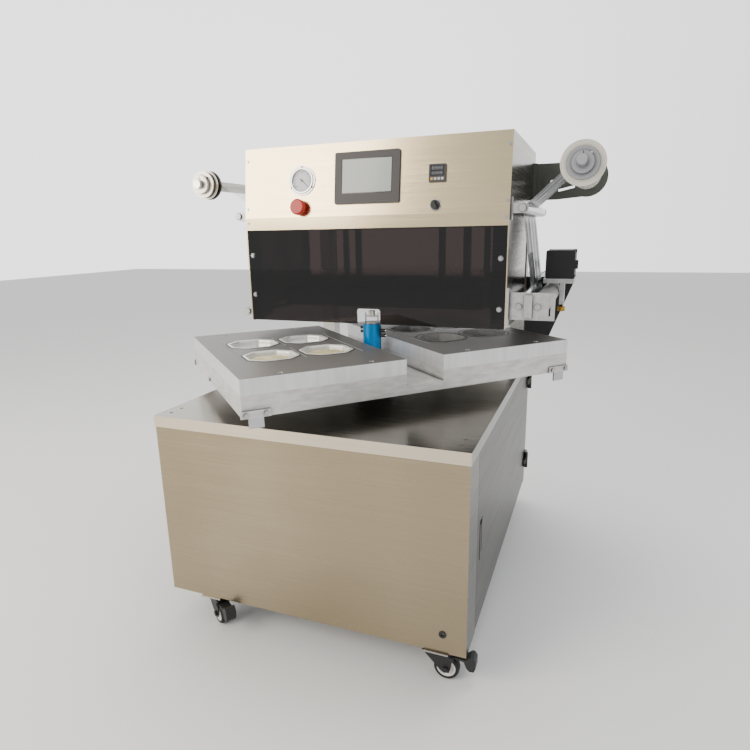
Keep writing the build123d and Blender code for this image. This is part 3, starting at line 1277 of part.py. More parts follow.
def film_motor():
    """Square stepper motor with notched corners."""
    s = MOTOR_SIZE / 2
    n = 9.0
    y0, y1 = MOTOR_FRONT, MOTOR_FRONT + MOTOR_LENGTH
    notched = [(-s, -s + n), (-s + n, -s + n), (-s + n, -s), (s - n, -s), (s - n, -s + n),
               (s, -s + n), (s, s - n), (s - n, s - n), (s - n, s), (-s + n, s),
               (-s + n, s - n), (-s, s - n)]
    stack = profile_xz(notched, y0 + 18, y1 - 14)
    caps = block(-s, s, y0, y0 + 18, -s, s) + block(-s, s, y1 - 14, y1, -s, s)
    caps = fillet(caps.edges().filter_by(Axis.Y), 5)
    motor = Pos(MOTOR_X, 0, MOTOR_Z) * (stack + caps)
    motor += block(MOTOR_X + s, MOTOR_X + s + 9, y0 + 4, y0 + 26, MOTOR_Z - 13, MOTOR_Z + 13)
    motor -= rod_y(MOTOR_X, MOTOR_Z, 8 + AXLE_FIT, y1 - 30, y1 + 1)
    return motor


def motor_shaft():
    """Motor shaft with its toothed pulley."""
    y1 = MOTOR_FRONT + MOTOR_LENGTH
    shaft = rod_y(MOTOR_X, MOTOR_Z, 8, y1 - 28, DRIVE_BELT_Y + 14)
    shaft += rod_y(MOTOR_X, MOTOR_Z, MOTOR_PULLEY_R, DRIVE_BELT_Y - 1, DRIVE_BELT_Y + 10)
    return shaft


# ---------------------------------------------------------------- files
def build_all():
    """Every node of the machine by file name."""
    nodes = {
        "base_frame": base_frame(),
        "cabinet_shell": cabinet_shell(),
        "cabinet_lid": cabinet_lid(),
        "cabinet_fittings": cabinet_fittings(),
        "door_panel": door_panel(),
        "door_lock": door_lock(),
        "caster_plates": caster_plates(),
        "press_frame": press_frame(),
        "press_cylinders": press_cylinders(),
        "control_panel": control_panel(),
        "side_panels": side_panels(),
        "head_cover": head_cover(),
        "guard_window": guard_window(),
        "fasteners": fasteners(),
        "touch_panel": touch_panel(),
        "vacuum_gauge": vacuum_gauge(),
        "gauge_needle": gauge_needle(),
        "estop_button": estop_button(),
        "selector_knob": selector_knob(),
        "temperature_controller": temperature_controller(),
        "turntable": turntable(),
        "lower_moulds": lower_moulds(),
        "table_hardware": table_hardware(),
        "union_body": union_body(),
        "union_stator": union_stator(),
        "table_drive": table_drive(),
        "vacuum_pump": vacuum_pump(),
        "electrics": electrics(),
        "upper_mould": upper_mould(),
        "press_carriage": press_carriage(),
        "film_web": film_web(),
        "film_infeed": film_infeed(),
        "film_outfeed": film_outfeed(),
        "supply_reel": supply_reel(),
        "rewind_reel": rewind_reel(),
        "film_arms": solids_of(left_arm(), right_arm()),
        "rewind_motor": rewind_motor(),
        "roller_brackets": roller_brackets(),
        "upper_left_roller": guide_roller(-UPPER_GUIDE_X, UPPER_GUIDE_Z),
        "lower_left_roller": guide_roller(LOWER_GUIDE_X, LOWER_GUIDE_Z),
        "upper_right_roller": guide_roller(UPPER_GUIDE_X, UPPER_GUIDE_Z),
        "drive_roller": drive_roller(),
        "pressure_roller": pressure_roller(),
        "motor_bracket": motor_bracket(),
        "nip_knob": nip_knob(),
        "film_motor": film_motor(),
        "motor_shaft": motor_shaft(),
        "drive_belt": drive_belt(),
    }
    for index in range(4):
        nodes[f"tray_{index + 1}"] = tray(index)
    for name, (x, y, direction) in FRONT_CASTERS.items():
        nodes[f"caster_fork_{name}"] = caster_fork(x, y, direction)
        nodes[f"brake_pedal_{name}"] = brake_pedal(x, y, direction)
        nodes[f"wheel_front_{name}"] = caster_wheel(x, y, direction)
    for side, (x, y) in zip(("left", "right"), REAR_CASTERS):
        nodes[f"wheel_rear_{side}"] = caster_wheel(x, y, 90)
    return nodes


os.makedirs("parts", exist_ok=True)
for node, shape in build_all().items():
    export_step(shape, f"parts/{node}.step")
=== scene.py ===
"""Finishes and fine pieces of a rotary tray sealing machine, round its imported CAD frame."""

import math

import bmesh
import bpy
import numpy as np
from mathutils import Matrix, Vector


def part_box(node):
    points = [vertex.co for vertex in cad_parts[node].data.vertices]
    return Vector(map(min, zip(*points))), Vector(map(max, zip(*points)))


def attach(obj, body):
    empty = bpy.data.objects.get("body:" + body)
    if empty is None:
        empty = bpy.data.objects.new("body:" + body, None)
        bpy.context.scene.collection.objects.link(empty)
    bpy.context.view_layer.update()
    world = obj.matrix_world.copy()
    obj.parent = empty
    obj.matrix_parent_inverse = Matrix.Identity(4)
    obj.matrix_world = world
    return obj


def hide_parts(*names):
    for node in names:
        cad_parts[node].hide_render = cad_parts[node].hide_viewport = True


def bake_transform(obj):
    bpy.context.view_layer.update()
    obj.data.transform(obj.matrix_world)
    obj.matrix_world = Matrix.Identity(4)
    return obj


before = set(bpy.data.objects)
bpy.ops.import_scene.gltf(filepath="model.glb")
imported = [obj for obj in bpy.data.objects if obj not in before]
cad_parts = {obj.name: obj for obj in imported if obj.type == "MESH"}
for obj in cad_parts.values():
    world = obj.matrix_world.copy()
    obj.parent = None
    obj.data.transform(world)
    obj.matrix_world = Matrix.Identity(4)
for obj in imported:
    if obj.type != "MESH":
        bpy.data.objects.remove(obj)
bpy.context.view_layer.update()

bl_info = {
    "name": "Rotary tray sealer",
    "version": (1, 0, 0),
    "blender": (4, 5, 0),
    "location": "View3D > Sidebar > Tray sealer",
    "description": "Materials, film, trays, food, casters and instruments of a tray sealer",
    "category": "Object",
}

MM = 0.001
FRONT = -54.0                  # front face of the head, mm
BEND_Z = 1098.5                # where the instrument panel starts to lean
LEAN = math.atan2(26.0, 1305.0 - BEND_Z)
TURN = math.radians(46.7)      # how far round the table stands
TABLE_Y = -25.5
MOULD_TOP = 732.0
LIP_Z = MOULD_TOP + 0.05
FILM_Y = (86.0, 406.0)
FILM_Z = 820.3                 # middle of the flat film
HALF_MOULD = 327.0
CAVITY_L, CAVITY_W, CAVITY_CUT = 130.0, 126.0, 34.0
TRAY_PLACES = ((-349.0, -97.0), (-349.0, 97.0), (-190.0, -97.0), (-190.0, 97.0))
GUIDE_GAP = 0.6                # from a roller's skin to the middle of the film
REWIND = (583.0, 1218.5, 26.0)
SUPPLY = (-621.0, 1215.0, 17.0)
UPPER_GUIDE = (442.0, 1106.0, 14.0)
LOWER_GUIDE = (-432.0, 805.0, 14.0)
DRIVE = (442.0, 844.0, 22.0)
KNOB = (532.0, 360.0, 787.0)
GAUGE = (-210.0, 106.0)         # middle of an instrument, across and up the panel
SELECTOR = (206.0, 22.0)
CONTROLLER = (209.0, 107.0)
SCREEN_UP = 32.5 + 146.0 / 2


# ---------------------------------------------------------------- sizes and colours
class SealerSizes(bpy.types.PropertyGroup):
    """Sizes that can be changed without touching the CAD frame."""

    film_thickness: bpy.props.FloatProperty(
        name="Film thickness", description="Drawn thickness of the lidding film",
        default=0.0003, min=0.0001, max=0.001, unit="LENGTH")
    fold_height: bpy.props.FloatProperty(
        name="Fold height", description="Height of the lengthwise folds in the used film",
        default=0.0035, min=0.0, max=0.008, unit="LENGTH")
    food_height: bpy.props.FloatProperty(
        name="Food height", description="How high the portions stand over the tray floor",
        default=0.021, min=0.005, max=0.026, unit="LENGTH")
    lens: bpy.props.FloatProperty(
        name="Lens", description="Focal length on a 36 mm sensor", default=27.66, min=10.0,
        max=200.0)


class SealerColours(bpy.types.PropertyGroup):
    """Colours of the parts that are made in more than one."""

    union: bpy.props.FloatVectorProperty(
        name="Rotary union", description="Anodised body of the rotary union",
        subtype="COLOR", size=3, default=(0.003, 0.27, 0.66), min=0.0, max=1.0)
    stop: bpy.props.FloatVectorProperty(
        name="Stop button", description="Moulded mushroom button",
        subtype="COLOR", size=3, default=(0.50, 0.018, 0.010), min=0.0, max=1.0)
    guard: bpy.props.FloatVectorProperty(
        name="Guard tint", description="Dye of the acrylic guard",
        subtype="COLOR", size=3, default=(0.018, 0.011, 0.010), min=0.0, max=1.0)
    food: bpy.props.FloatVectorProperty(
        name="Food", description="Portions in the two filled trays",
        subtype="COLOR", size=3, default=(0.50, 0.41, 0.20), min=0.0, max=1.0)


# ---------------------------------------------------------------- material helpers
def linear(code):
    """A sRGB hex colour as linear red, green, blue and an alpha of one."""
    parts = np.array([int(code[k:k + 2], 16) / 255 for k in (1, 3, 5)])
    values = np.where(parts <= 0.04045, parts / 12.92, ((parts + 0.055) / 1.055) ** 2.4)
    return (*values.tolist(), 1.0)


def add(tree, kind, inputs=None, **settings):
    """Adds a node with its settings; inputs are values, or sockets to link from."""
    node = tree.nodes.new(kind)
    for key, value in settings.items():
        setattr(node, key, value)
    for key, value in (inputs or {}).items():
        if isinstance(value, bpy.types.NodeSocket):
            tree.links.new(value, node.inputs[key])
        else:
            node.inputs[key].default_value = value
    return node


def start_material(name, colour, sockets):
    """A material with its shader; numbers that are the same all over sit on its sockets."""
    made = bpy.data.materials.new(name)
    made.use_nodes = True
    tree = made.node_tree
    shader = tree.nodes["Principled BSDF"]
    shader.inputs["Base Color"].default_value = colour
    for key, value in sockets.items():
        shader.inputs[key].default_value = value
    return made, tree, shader


def stretched_noise(tree, scale, detail=2.0):
    """Noise on Object coordinates; scale is in cycles per metre along X, Y and Z."""
    place = add(tree, "ShaderNodeTexCoord")
    mapped = add(tree, "ShaderNodeMapping", {"Vector": place.outputs["Object"], "Scale": scale})
    return add(tree, "ShaderNodeTexNoise",
               {"Vector": mapped.outputs["Vector"], "Scale": 1.0, "Detail": detail,
                "Roughness": 0.6}).outputs["Fac"]


def vary(tree, source, low, high):
    """Maps noise around its middle to the range from low to high."""
    return add(tree, "ShaderNodeMapRange",
               {"Value": source, "From Min": 0.3, "From Max": 0.7, "To Min": low,
                "To Max": high}).outputs["Result"]


def mix(tree, factor, first, second):
    """A colour between two, each a colour or a socket."""
    return add(tree, "ShaderNodeMix", {0: factor, 6: first, 7: second},
               data_type="RGBA").outputs[2]


def bump(tree, shader, height, distance, strength):
    """Relief of that height in metres."""
    relief = add(tree, "ShaderNodeBump",
                 {"Height": height, "Distance": distance, "Strength": strength})
    tree.links.new(relief.outputs["Normal"], shader.inputs["Normal"])


def facing(tree, axis, low=0.35, high=0.65):
    """One where the surface faces along that axis of the frame, zero where it doesn't."""
    place = add(tree, "ShaderNodeTexCoord")
    parts = add(tree, "ShaderNodeSeparateXYZ", {"Vector": place.outputs["Normal"]})
    return add(tree, "ShaderNodeMapRange",
               {"Value": parts.outputs[axis], "From Min": low, "From Max": high}).outputs["Result"]


# ---------------------------------------------------------------- metals
def brushed_steel(name, light, dark, grain, roughness, side=None, top=None):
    """Belt-brushed stainless sheet: long fine scratches, so reflections smear across them.
    The real scratches are 0.1 mm apart and are drawn 1.4 mm apart so that they show.
    side and top are painted shade: darker tones on faces turned along X and up along Z, standing
    in for the shade and dark reflections on those sides."""
    made, tree, shader = start_material(name, linear(light), {"Metallic": 1.0})
    lines = stretched_noise(tree, grain, 3.0)
    broad = stretched_noise(tree, (3.0, 3.0, 2.2), 1.0)
    colour = mix(tree, vary(tree, lines, 0.0, 0.35), linear(light), linear(dark))
    colour = mix(tree, vary(tree, broad, 0.0, 0.55), colour, linear(dark))
    # painted shade: faces turned along X take the darker side tone
    if side:
        colour = mix(tree, facing(tree, "X"), colour, linear(side))
    # painted shade and painted dark reflection: faces turned up take the darker top tone
    if top:
        colour = mix(tree, facing(tree, "Z"), colour, linear(top))
    tree.links.new(colour, shader.inputs["Base Color"])
    tree.links.new(vary(tree, lines, roughness - 0.05, roughness + 0.09),
                   shader.inputs["Roughness"])
    bump(tree, shader, lines, 0.00003, 0.25)
    return made


def machined_metal(name, colour, shade, pitch, roughness, metallic=1.0, relief=0.00002):
    """Turned, milled or cast metal: a tone that drifts a little, fine tool marks, and painted
    shade that darkens the colour within 12 mm of creases, where shade falls. pitch is the
    distance between marks in metres along X, Y and Z."""
    made, tree, shader = start_material(name, linear(colour), {"Metallic": metallic})
    marks = stretched_noise(tree, tuple(1.0 / p for p in pitch), 2.0)
    tone = mix(tree, vary(tree, marks, 0.0, 1.0), linear(colour), linear(shade))
    # painted shade: ambient occlusion pulls the colour towards #3c3a37 in creases
    crease_shade_occlusion = add(tree, "ShaderNodeAmbientOcclusion", {"Distance": 0.012}, samples=6)
    depth = add(tree, "ShaderNodeMapRange",
                {"Value": crease_shade_occlusion.outputs["AO"], "From Min": 0.35, "From Max": 0.95,
                 "To Min": 1.0, "To Max": 0.0})
    tone = mix(tree, depth.outputs["Result"], tone, linear("#3c3a37"))
    tree.links.new(tone, shader.inputs["Base Color"])
    tree.links.new(vary(tree, marks, roughness - 0.04, roughness + 0.06),
                   shader.inputs["Roughness"])
    bump(tree, shader, marks, relief, 0.4)
    return made


def mould_aluminium():
    """Aluminium tooling plate: hard-anodised grey on top, bright milled edges with upright
    cutter marks 6 mm apart."""
    made, tree, shader = start_material("anodised_and_milled_aluminium", linear("#8a8784"),
                                        {"Metallic": 0.6})
    marks = stretched_noise(tree, (70.0, 70.0, 5.0), 1.0)
    grain = stretched_noise(tree, (900.0, 900.0, 900.0), 1.0)
    edge = mix(tree, vary(tree, marks, 0.0, 1.0), linear("#f2f2f2"), linear("#e6e6e6"))
    skin = mix(tree, vary(tree, grain, 0.0, 1.0), linear("#75726f"), linear("#696663"))
    upper = facing(tree, "Z")
    tree.links.new(mix(tree, upper, edge, skin), shader.inputs["Base Color"])
    rough = add(tree, "ShaderNodeMapRange", {"Value": upper, "To Min": 0.3, "To Max": 0.46})
    tree.links.new(rough.outputs["Result"], shader.inputs["Roughness"])
    bump(tree, shader, marks, 0.00002, 0.3)
    return made


def smooth_material(name, colour, roughness, grain=0.0012, sockets=None, shade=None):
    """Moulded, painted or coated skin: even colour with a fine orange-peel or spark texture;
    grain is the distance between its bumps in metres. A colour is #rrggbb or linear."""
    first = linear(colour) if isinstance(colour, str) else (*colour, 1.0)
    made, tree, shader = start_material(name, first, {"Roughness": roughness, **(sockets or {})})
    scale = 1.0 / grain
    skin = stretched_noise(tree, (scale, scale, scale), 1.0)
    tone = mix(tree, vary(tree, skin, 0.0, 1.0), first, linear(shade) if shade else first)
    tree.links.new(tone, shader.inputs["Base Color"])
    bump(tree, shader, skin, 0.00002, 0.25)
    return made


def clear_material(name, colour, roughness, ior, alpha=1.0, transmission=1.0):
    """Clear or dyed plastic: what lies behind shows through, and the skin mirrors a little."""
    made, tree, shader = start_material(
        name, colour, {"Roughness": roughness, "IOR": ior, "Alpha": alpha,
                       "Transmission Weight": transmission})
    return made


def film_material(name, colour, alpha, roughness=0.16):
    """Polyester lidding film: thin enough to see through, glossy, with shallow flow ripples
    40 mm apart that bend its highlights."""
    made, tree, shader = start_material(
        name, linear(colour), {"Roughness": roughness, "Alpha": alpha, "IOR": 1.6,
                               "Specular IOR Level": 0.9})
    ripples = stretched_noise(tree, (25.0, 60.0, 14.0), 2.0)
    bump(tree, shader, ripples, 0.0015, 0.5)
    return made


def finishes(colours):
    """Every material of the machine by its own name."""
    made = {}
    # the side and top tones given below are painted shade and painted dark reflection
    made["front_steel"] = brushed_steel("brushed_stainless_head", "#ecdab6", "#d8c69f",
                                        (3.0, 3.0, 700.0), 0.2, side="#7b776f", top="#b9b5ab")
    made["shell_steel"] = brushed_steel("brushed_stainless_cabinet", "#a89b82", "#8d8068",
                                        (3.0, 3.0, 700.0), 0.3, side="#6d6c68")
    # painted shade: the door is a darker, cooler copy of the brushed stainless, standing in for
    # the shade on it
    made["shaded_door_steel"] = brushed_steel("brushed_stainless_door_painted_shade", "#575551", "#4b4a46",
                                       (3.0, 3.0, 700.0), 0.32)
    made["lid_steel"] = brushed_steel("polished_stainless_lid", "#d8cdb9", "#c3b8a4",
                                      (3.0, 600.0, 600.0), 0.2, side="#7c7b77", top="#8b867c")
    made["frame_steel"] = machined_metal("painted_steel_tube", "#8a8a8a", "#7d7d7d",
                                         (0.02, 0.02, 0.02), 0.5, 0.3)
    made["bright_steel"] = machined_metal("turned_steel", "#d2d2d4", "#b4b4b8",
                                          (0.001, 0.004, 0.001), 0.2)
    made["plate_steel"] = machined_metal("zinc_plated_steel", "#c4c3bf", "#a9a8a4",
                                         (0.004, 0.02, 0.004), 0.34)
    made["satin_aluminium"] = machined_metal("milled_aluminium", "#d0d0d0", "#b8b8b8",
                                             (0.02, 0.02, 0.02), 0.36)
    made["table_aluminium"] = machined_metal("dull_milled_aluminium", "#eae8e5", "#cfcdc9",
                                             (0.05, 0.05, 0.012), 0.42, 0.55)
    made["mould"] = mould_aluminium()
    made["cream_aluminium"] = machined_metal("clear_anodised_discs", "#f6f1e4", "#e7e2d6",
                                             (0.002, 0.02, 0.002), 0.28, 0.6)
    made["arm_grey"] = smooth_material("grey_green_powder_coat", "#5d5f58", 0.5, 0.0015,
                                       {"Metallic": 0.2}, "#555750")
    made["brass"] = machined_metal("turned_brass", "#c8a24c", "#a8842f",
                                   (0.002, 0.002, 0.0015), 0.26)
    # moulded plastics and rubber
    made["black_plastic"] = smooth_material("black_abs", "#1b1b1d", 0.42, 0.0014, None, "#232326")
    made["black_coat"] = smooth_material("black_powder_coat", "#1c1c1e", 0.5, 0.0018,
                                         {"Metallic": 0.1}, "#242427")
    made["tyre"] = smooth_material("black_rubber", "#151516", 0.68, 0.003, None, "#1d1d1e")
    made["rubber_cover"] = smooth_material("grey_rubber_cover", "#b7b7b3", 0.6, 0.002, None,
                                           "#a9a9a5")
    made["rim"] = smooth_material("white_nylon", "#e9e9e6", 0.4, 0.002, None, "#dededa")
    made["bezel"] = smooth_material("grey_abs_bezel", "#403d3e", 0.45, 0.0012, None, "#393637")
    made["controller"] = smooth_material("graphite_abs", "#3a3a3c", 0.4, 0.0012, None, "#323234")
    made["union"] = smooth_material("blue_anodised_aluminium", colours.union, 0.25, 0.002,
                                    {"Metallic": 0.55})
    made["stop"] = smooth_material("red_abs", colours.stop, 0.32, 0.0014)
    made["tray"] = smooth_material("white_coated_foil", "#e6e5e1", 0.28, 0.004,
                                   {"Metallic": 0.35}, "#d6d5d1")
    made["sensor"] = smooth_material("white_nylon_blocks", "#e4e4e0", 0.4, 0.002, None, "#dadad6")
    # clear parts
    made["guard"] = clear_material("dyed_acrylic", (*colours.guard, 1.0), 0.02, 1.49)
    made["glass"] = clear_material("instrument_glass", linear("#ffffff"), 0.0, 1.5, 0.05, 0.0)
    made["film"] = film_material("clear_polyester_film", "#b9bab8", 0.22)
    # painted shade: the used film is a darker, more opaque copy of the clear film, standing in for
    # the shade on the outfeed run
    made["shaded_used_film"] = film_material("used_polyester_film_painted_shade", "#4c4e51", 0.8, 0.14)
    made["wound_film"] = film_material("wound_polyester_film", "#c9cac8", 1.0, 0.18)
    made["wound_waste"] = film_material("wound_waste_film", "#8f9090", 1.0, 0.24)
    # instruments
    made["screen"] = smooth_material("matt_touch_glass", "#a7ada8", 0.3, 0.0015,
                                     {"Coat Weight": 0.4, "Coat Roughness": 0.08}, "#a3a9a4")
    made["dial"] = smooth_material("white_enamel_dial", "#e6e8ea", 0.4, 0.003, None, "#e0e2e4")
    made["ink"] = smooth_material("black_dial_ink", "#202226", 0.5, 0.003)
    made["amber"] = smooth_material("amber_key", "#e0a23a", 0.4, 0.002)
    made["key"] = smooth_material("pale_grey_keys", "#c9c9c9", 0.4, 0.002)
    made["window"] = smooth_material("smoked_display_window", "#2a2a2d", 0.12, 0.002,
                                     {"Coat Weight": 0.5})
    made["segment"] = smooth_material("dim_display_segments", "#86868a", 0.4, 0.002)
    made["food"] = food_material(colours.food)
    made["dark_disc"] = machined_metal("dark_turned_disc", "#4d4b48", "#3f3d3a",
                                       (0.002, 0.02, 0.002), 0.35)
    made["chrome"] = machined_metal("chromed_brass", "#d9d9db", "#cfcfd1",
                                    (0.01, 0.01, 0.01), 0.12)
    made["seal"] = smooth_material("black_silicone_seal", "#242322", 0.6, 0.003)
    return made


def food_material(colour):
    """Cooked grain under sauce: uneven cream and tan lumps 5 mm apart, damp on top."""
    base = (*colour, 1.0)
    made, tree, shader = start_material("cooked_grain", base,
                                        {"Roughness": 0.42, "Coat Weight": 0.25,
                                         "Coat Roughness": 0.3, "Subsurface Weight": 0.08})
    lumps = stretched_noise(tree, (190.0, 190.0, 190.0), 3.0)
    patches = stretched_noise(tree, (32.0, 32.0, 32.0), 2.0)
    tone = mix(tree, vary(tree, lumps, 0.0, 1.0), linear("#d3c592"), base)
    tone = mix(tree, vary(tree, patches, 0.0, 0.8), tone, linear("#ddd5b4"))
    tree.links.new(tone, shader.inputs["Base Color"])
    bump(tree, shader, lumps, 0.0012, 0.6)
    return made


MATERIALS = {}


# ---------------------------------------------------------------- surface helpers
def make_piece(name, points, faces, finish, body=None, smooth=True):
    """One mesh in the frame's own place, its faces turned outwards, riding on a body."""
    mesh = bpy.data.meshes.new(name)
    mesh.from_pydata((np.asarray(points).reshape(-1, 3) * MM).tolist(), [], faces)
    work = bmesh.new()
    work.from_mesh(mesh)
    bmesh.ops.recalc_face_normals(work, faces=work.faces)
    work.to_mesh(mesh)
    work.free()
    mesh.shade_smooth() if smooth else mesh.shade_flat()
    mesh.materials.append(MATERIALS[finish])
    piece = bpy.data.objects.new(name, mesh)
    bpy.context.scene.collection.objects.link(piece)
    if body:
        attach(piece, body)
    return piece


def ring_faces(rows, count, closed, first=0):
    """Quads between successive rings of count points; closed joins the last ring to the first."""
    r = np.arange(rows if closed else rows - 1)[:, None]
    c = np.arange(count)[None, :]
    a, b = r * count, ((r + 1) % rows) * count
    d = (c + 1) % count
    quads = np.stack([a + c, a + d, b + d, b + c], axis=-1).reshape(-1, 4) + first
    return quads.tolist()


def loft(rings):
    """Skin over rings of points, rows x count x 3, capped at both ends by a fan to the middle
    of the end ring."""
    rows, count = rings.shape[:2]
    points = np.concatenate([rings.reshape(-1, 3), rings[:1].mean(axis=1),
                             rings[-1:].mean(axis=1)])
    faces = ring_faces(rows, count, False)
    c = np.arange(count)
    d = (c + 1) % count
    last = (rows - 1) * count
    faces += np.stack([c, d, np.full(count, rows * count)], axis=-1).tolist()
    faces += np.stack([last + c, last + d, np.full(count, rows * count + 1)], axis=-1).tolist()
    return points, faces


def turned(profile, centre, axis, count=96, swell=None):
    """Rings of a turned piece: each (along, radius) of the profile is carried round the axis
    through centre; swell(turn, along) adds to the radius."""
    profile = np.asarray(profile, float)
    turn = np.arange(count) * 2 * np.pi / count
    along, radius = profile[:, :1], profile[:, 1:] + np.zeros((1, count))
    if swell is not None:
        radius = radius + swell(turn[None, :], along)
    axis = np.asarray(axis, float)
    side = np.cross(axis, (0.0, 0.0, 1.0) if abs(axis[2]) < 0.9 else (1.0, 0.0, 0.0))
    side /= np.linalg.norm(side)
    other = np.cross(axis, side)
    return (np.asarray(centre, float) + along[..., None] * axis
            + (radius * np.cos(turn))[..., None] * side
            + (radius * np.sin(turn))[..., None] * other)


def turned_ring(name, profile, centre, axis, finish, body, count=96, swell=None):
    """A ring whose profile is a closed loop, such as a tyre."""
    rings = turned(profile, centre, axis, count, swell)
    return make_piece(name, rings, ring_faces(len(profile), count, True), finish, body)


def turned_solid(name, profile, centre, axis, finish, body, count=96, swell=None):
    """A turned piece that is closed by its two ends."""
    points, faces = loft(turned(profile, centre, axis, count, swell))
    return make_piece(name, points, faces, finish, body)


def rounded_outline(corners, spread, count=160):
    """Even points along a polygon, then each is the mean of its neighbours within spread
    points, which rounds the corners."""
    corners = np.asarray(corners, float)
    closed = np.vstack([corners, corners[:1]])
    lengths = np.hypot(*np.diff(closed, axis=0).T)
    travel = np.concatenate([[0.0], np.cumsum(lengths)])
    at = np.linspace(0.0, travel[-1], count, endpoint=False)
    even = np.stack([np.interp(at, travel, closed[:, k]) for k in (0, 1)], axis=-1)
    return np.mean([np.roll(even, k, axis=0) for k in range(-spread, spread + 1)], axis=0)


def octagon(length, width, cut):
    """Corners of a rectangle with cut corners."""
    a, b = length / 2, width / 2
    return [(-a, -b + cut), (-a + cut, -b), (a - cut, -b), (a, -b + cut),
            (a, b - cut), (a - cut, b), (-a + cut, b), (-a, b - cut)]


def on_table(points):
    """Turns points drawn along the table's own axes to where the table stands."""
    x, y, z = points[..., 0], points[..., 1], points[..., 2]
    c, s = math.cos(TURN), math.sin(TURN)
    return np.stack([x * c - y * s, x * s + y * c + TABLE_Y, z], axis=-1)


def on_panel(points):
    """Puts points drawn flat (front towards -Y, bend line at z = 0) on the leaning panel."""
    x, y, z = points[..., 0], points[..., 1], points[..., 2]
    c, s = math.cos(LEAN), math.sin(LEAN)
    return np.stack([x, FRONT + y * c + z * s, BEND_Z - y * s + z * c], axis=-1)


def panel_tile(x0, x1, up0, up1, front, back, edge=0.4, corner=2, count=64):
    """A thin plate on the instrument panel: the same rounded outline at the back, at the
    front's edge and, drawn in by edge, on the front."""
    middle = np.array([(x0 + x1) / 2, (up0 + up1) / 2])
    base = rounded_outline([(x0, up0), (x1, up0), (x1, up1), (x0, up1)], corner, count)
    rings = []
    for depth, inset in ((back, 0.0), (front + edge, 0.0), (front, edge)):
        flat = base - np.sign(base - middle) * inset
        rings.append(np.stack([flat[:, 0], np.full(count, depth), flat[:, 1]], axis=-1))
    return loft(on_panel(np.array(rings)))


def join_pieces(name, shapes, finish, body, smooth=False):
    """Several closed shapes, each points and faces, as one piece."""
    points, faces, count = [], [], 0
    for shape_points, shape_faces in shapes:
        shape_points = np.asarray(shape_points).reshape(-1, 3)
        points.append(shape_points)
        faces += [[k + count for k in face] for face in shape_faces]
        count += len(shape_points)
    return make_piece(name, np.concatenate(points), faces, finish, body, smooth)


# ---------------------------------------------------------------- film
def run_angle(a, b):
    """Direction of the straight run between two rollers, each (x, z, radius, turn)."""
    dx, dz = b[0] - a[0], b[1] - a[1]
    lean = (b[3] * b[2] - a[3] * a[2]) / math.hypot(dx, dz)
    return math.atan2(dz, dx) - math.asin(lean)


def film_line(stations, step=6.0):
    """Points every step along film that passes round the stations, with its direction and its
    distance from the nearest roller; turn is +1 where it turns to the left."""
    angles = [run_angle(a, b) for a, b in zip(stations, stations[1:])]
    angles = [angles[0]] + angles + [angles[-1]]
    line, touching = [], []
    for (x, z, radius, turn), before, after in zip(stations, angles, angles[1:]):
        sweep = (after - before + math.pi) % (2 * math.pi) - math.pi
        count = max(2, int(abs(sweep) * radius / 2.0) + 2) if radius else 1
        angle = before + sweep * np.linspace(0.0, 1.0, count)
        line.append(np.stack([x + turn * radius * np.sin(angle),
                              z - turn * radius * np.cos(angle)], axis=-1))
        touching.append(np.full(count, 1.0))
    line = np.concatenate(line)
    travel = np.concatenate([[0.0], np.cumsum(np.hypot(*np.diff(line, axis=0).T))])
    at = np.linspace(0.0, travel[-1], max(2, int(travel[-1] / step)))
    even = np.stack([np.interp(at, travel, line[:, k]) for k in (0, 1)], axis=-1)
    free = np.min(np.abs(at[:, None] - travel[None, :]), axis=1)
    ahead = np.gradient(even, axis=0)
    ahead /= np.linalg.norm(ahead, axis=1, keepdims=True)
    return even, ahead, free, travel[-1]


def film_surface(stations, fold, waves):
    """Film along its line (first parameter) and across its width (second). It stands off its
    line by folds: a sum of cosines across the width, faded out over 45 mm at each roller."""
    line, ahead, free, length = film_line(stations)
    across = np.linspace(0.0, 1.0, 97)
    folds = sum(height * np.cos(2 * np.pi * (count * across + shift))
                for count, height, shift in waves)
    fade = np.clip(free / 45.0, 0.0, 1.0)
    fade = fade * fade * (3 - 2 * fade)
    off = fold * fade[:, None] * folds[None, :]
    normal = np.stack([-ahead[:, 1], ahead[:, 0]], axis=-1)
    x = line[:, :1] + normal[:, :1] * off
    z = line[:, 1:] + normal[:, 1:] * off
    y = np.broadcast_to(FILM_Y[0] + (FILM_Y[1] - FILM_Y[0]) * across, x.shape)
    points = np.stack([x, y, z], axis=-1)
    rows, count = x.shape
    r = np.arange(rows - 1)[:, None] * count
    c = np.arange(count - 1)[None, :]
    faces = np.stack([r + c, r + c + 1, r + c + 1 + count, r + c + count], axis=-1)
    return points, faces.reshape(-1, 4).tolist(), length


def film_piece(name, stations, finish, fold, waves, node, thickness):
    """One length of film in place of the plain CAD strip, with a real thickness."""
    points, faces, length = film_surface(stations, fold, waves)
    piece = make_piece(name, points, faces, finish)
    wall = piece.modifiers.new("film_thickness", "SOLIDIFY")
    wall.thickness = thickness
    wall.offset = 0.0
    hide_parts(node)
    return piece, length


def at_roller(roller, turn):
    """The station of film that passes a roller."""
    return (roller[0], roller[1], roller[2] + GUIDE_GAP, turn)


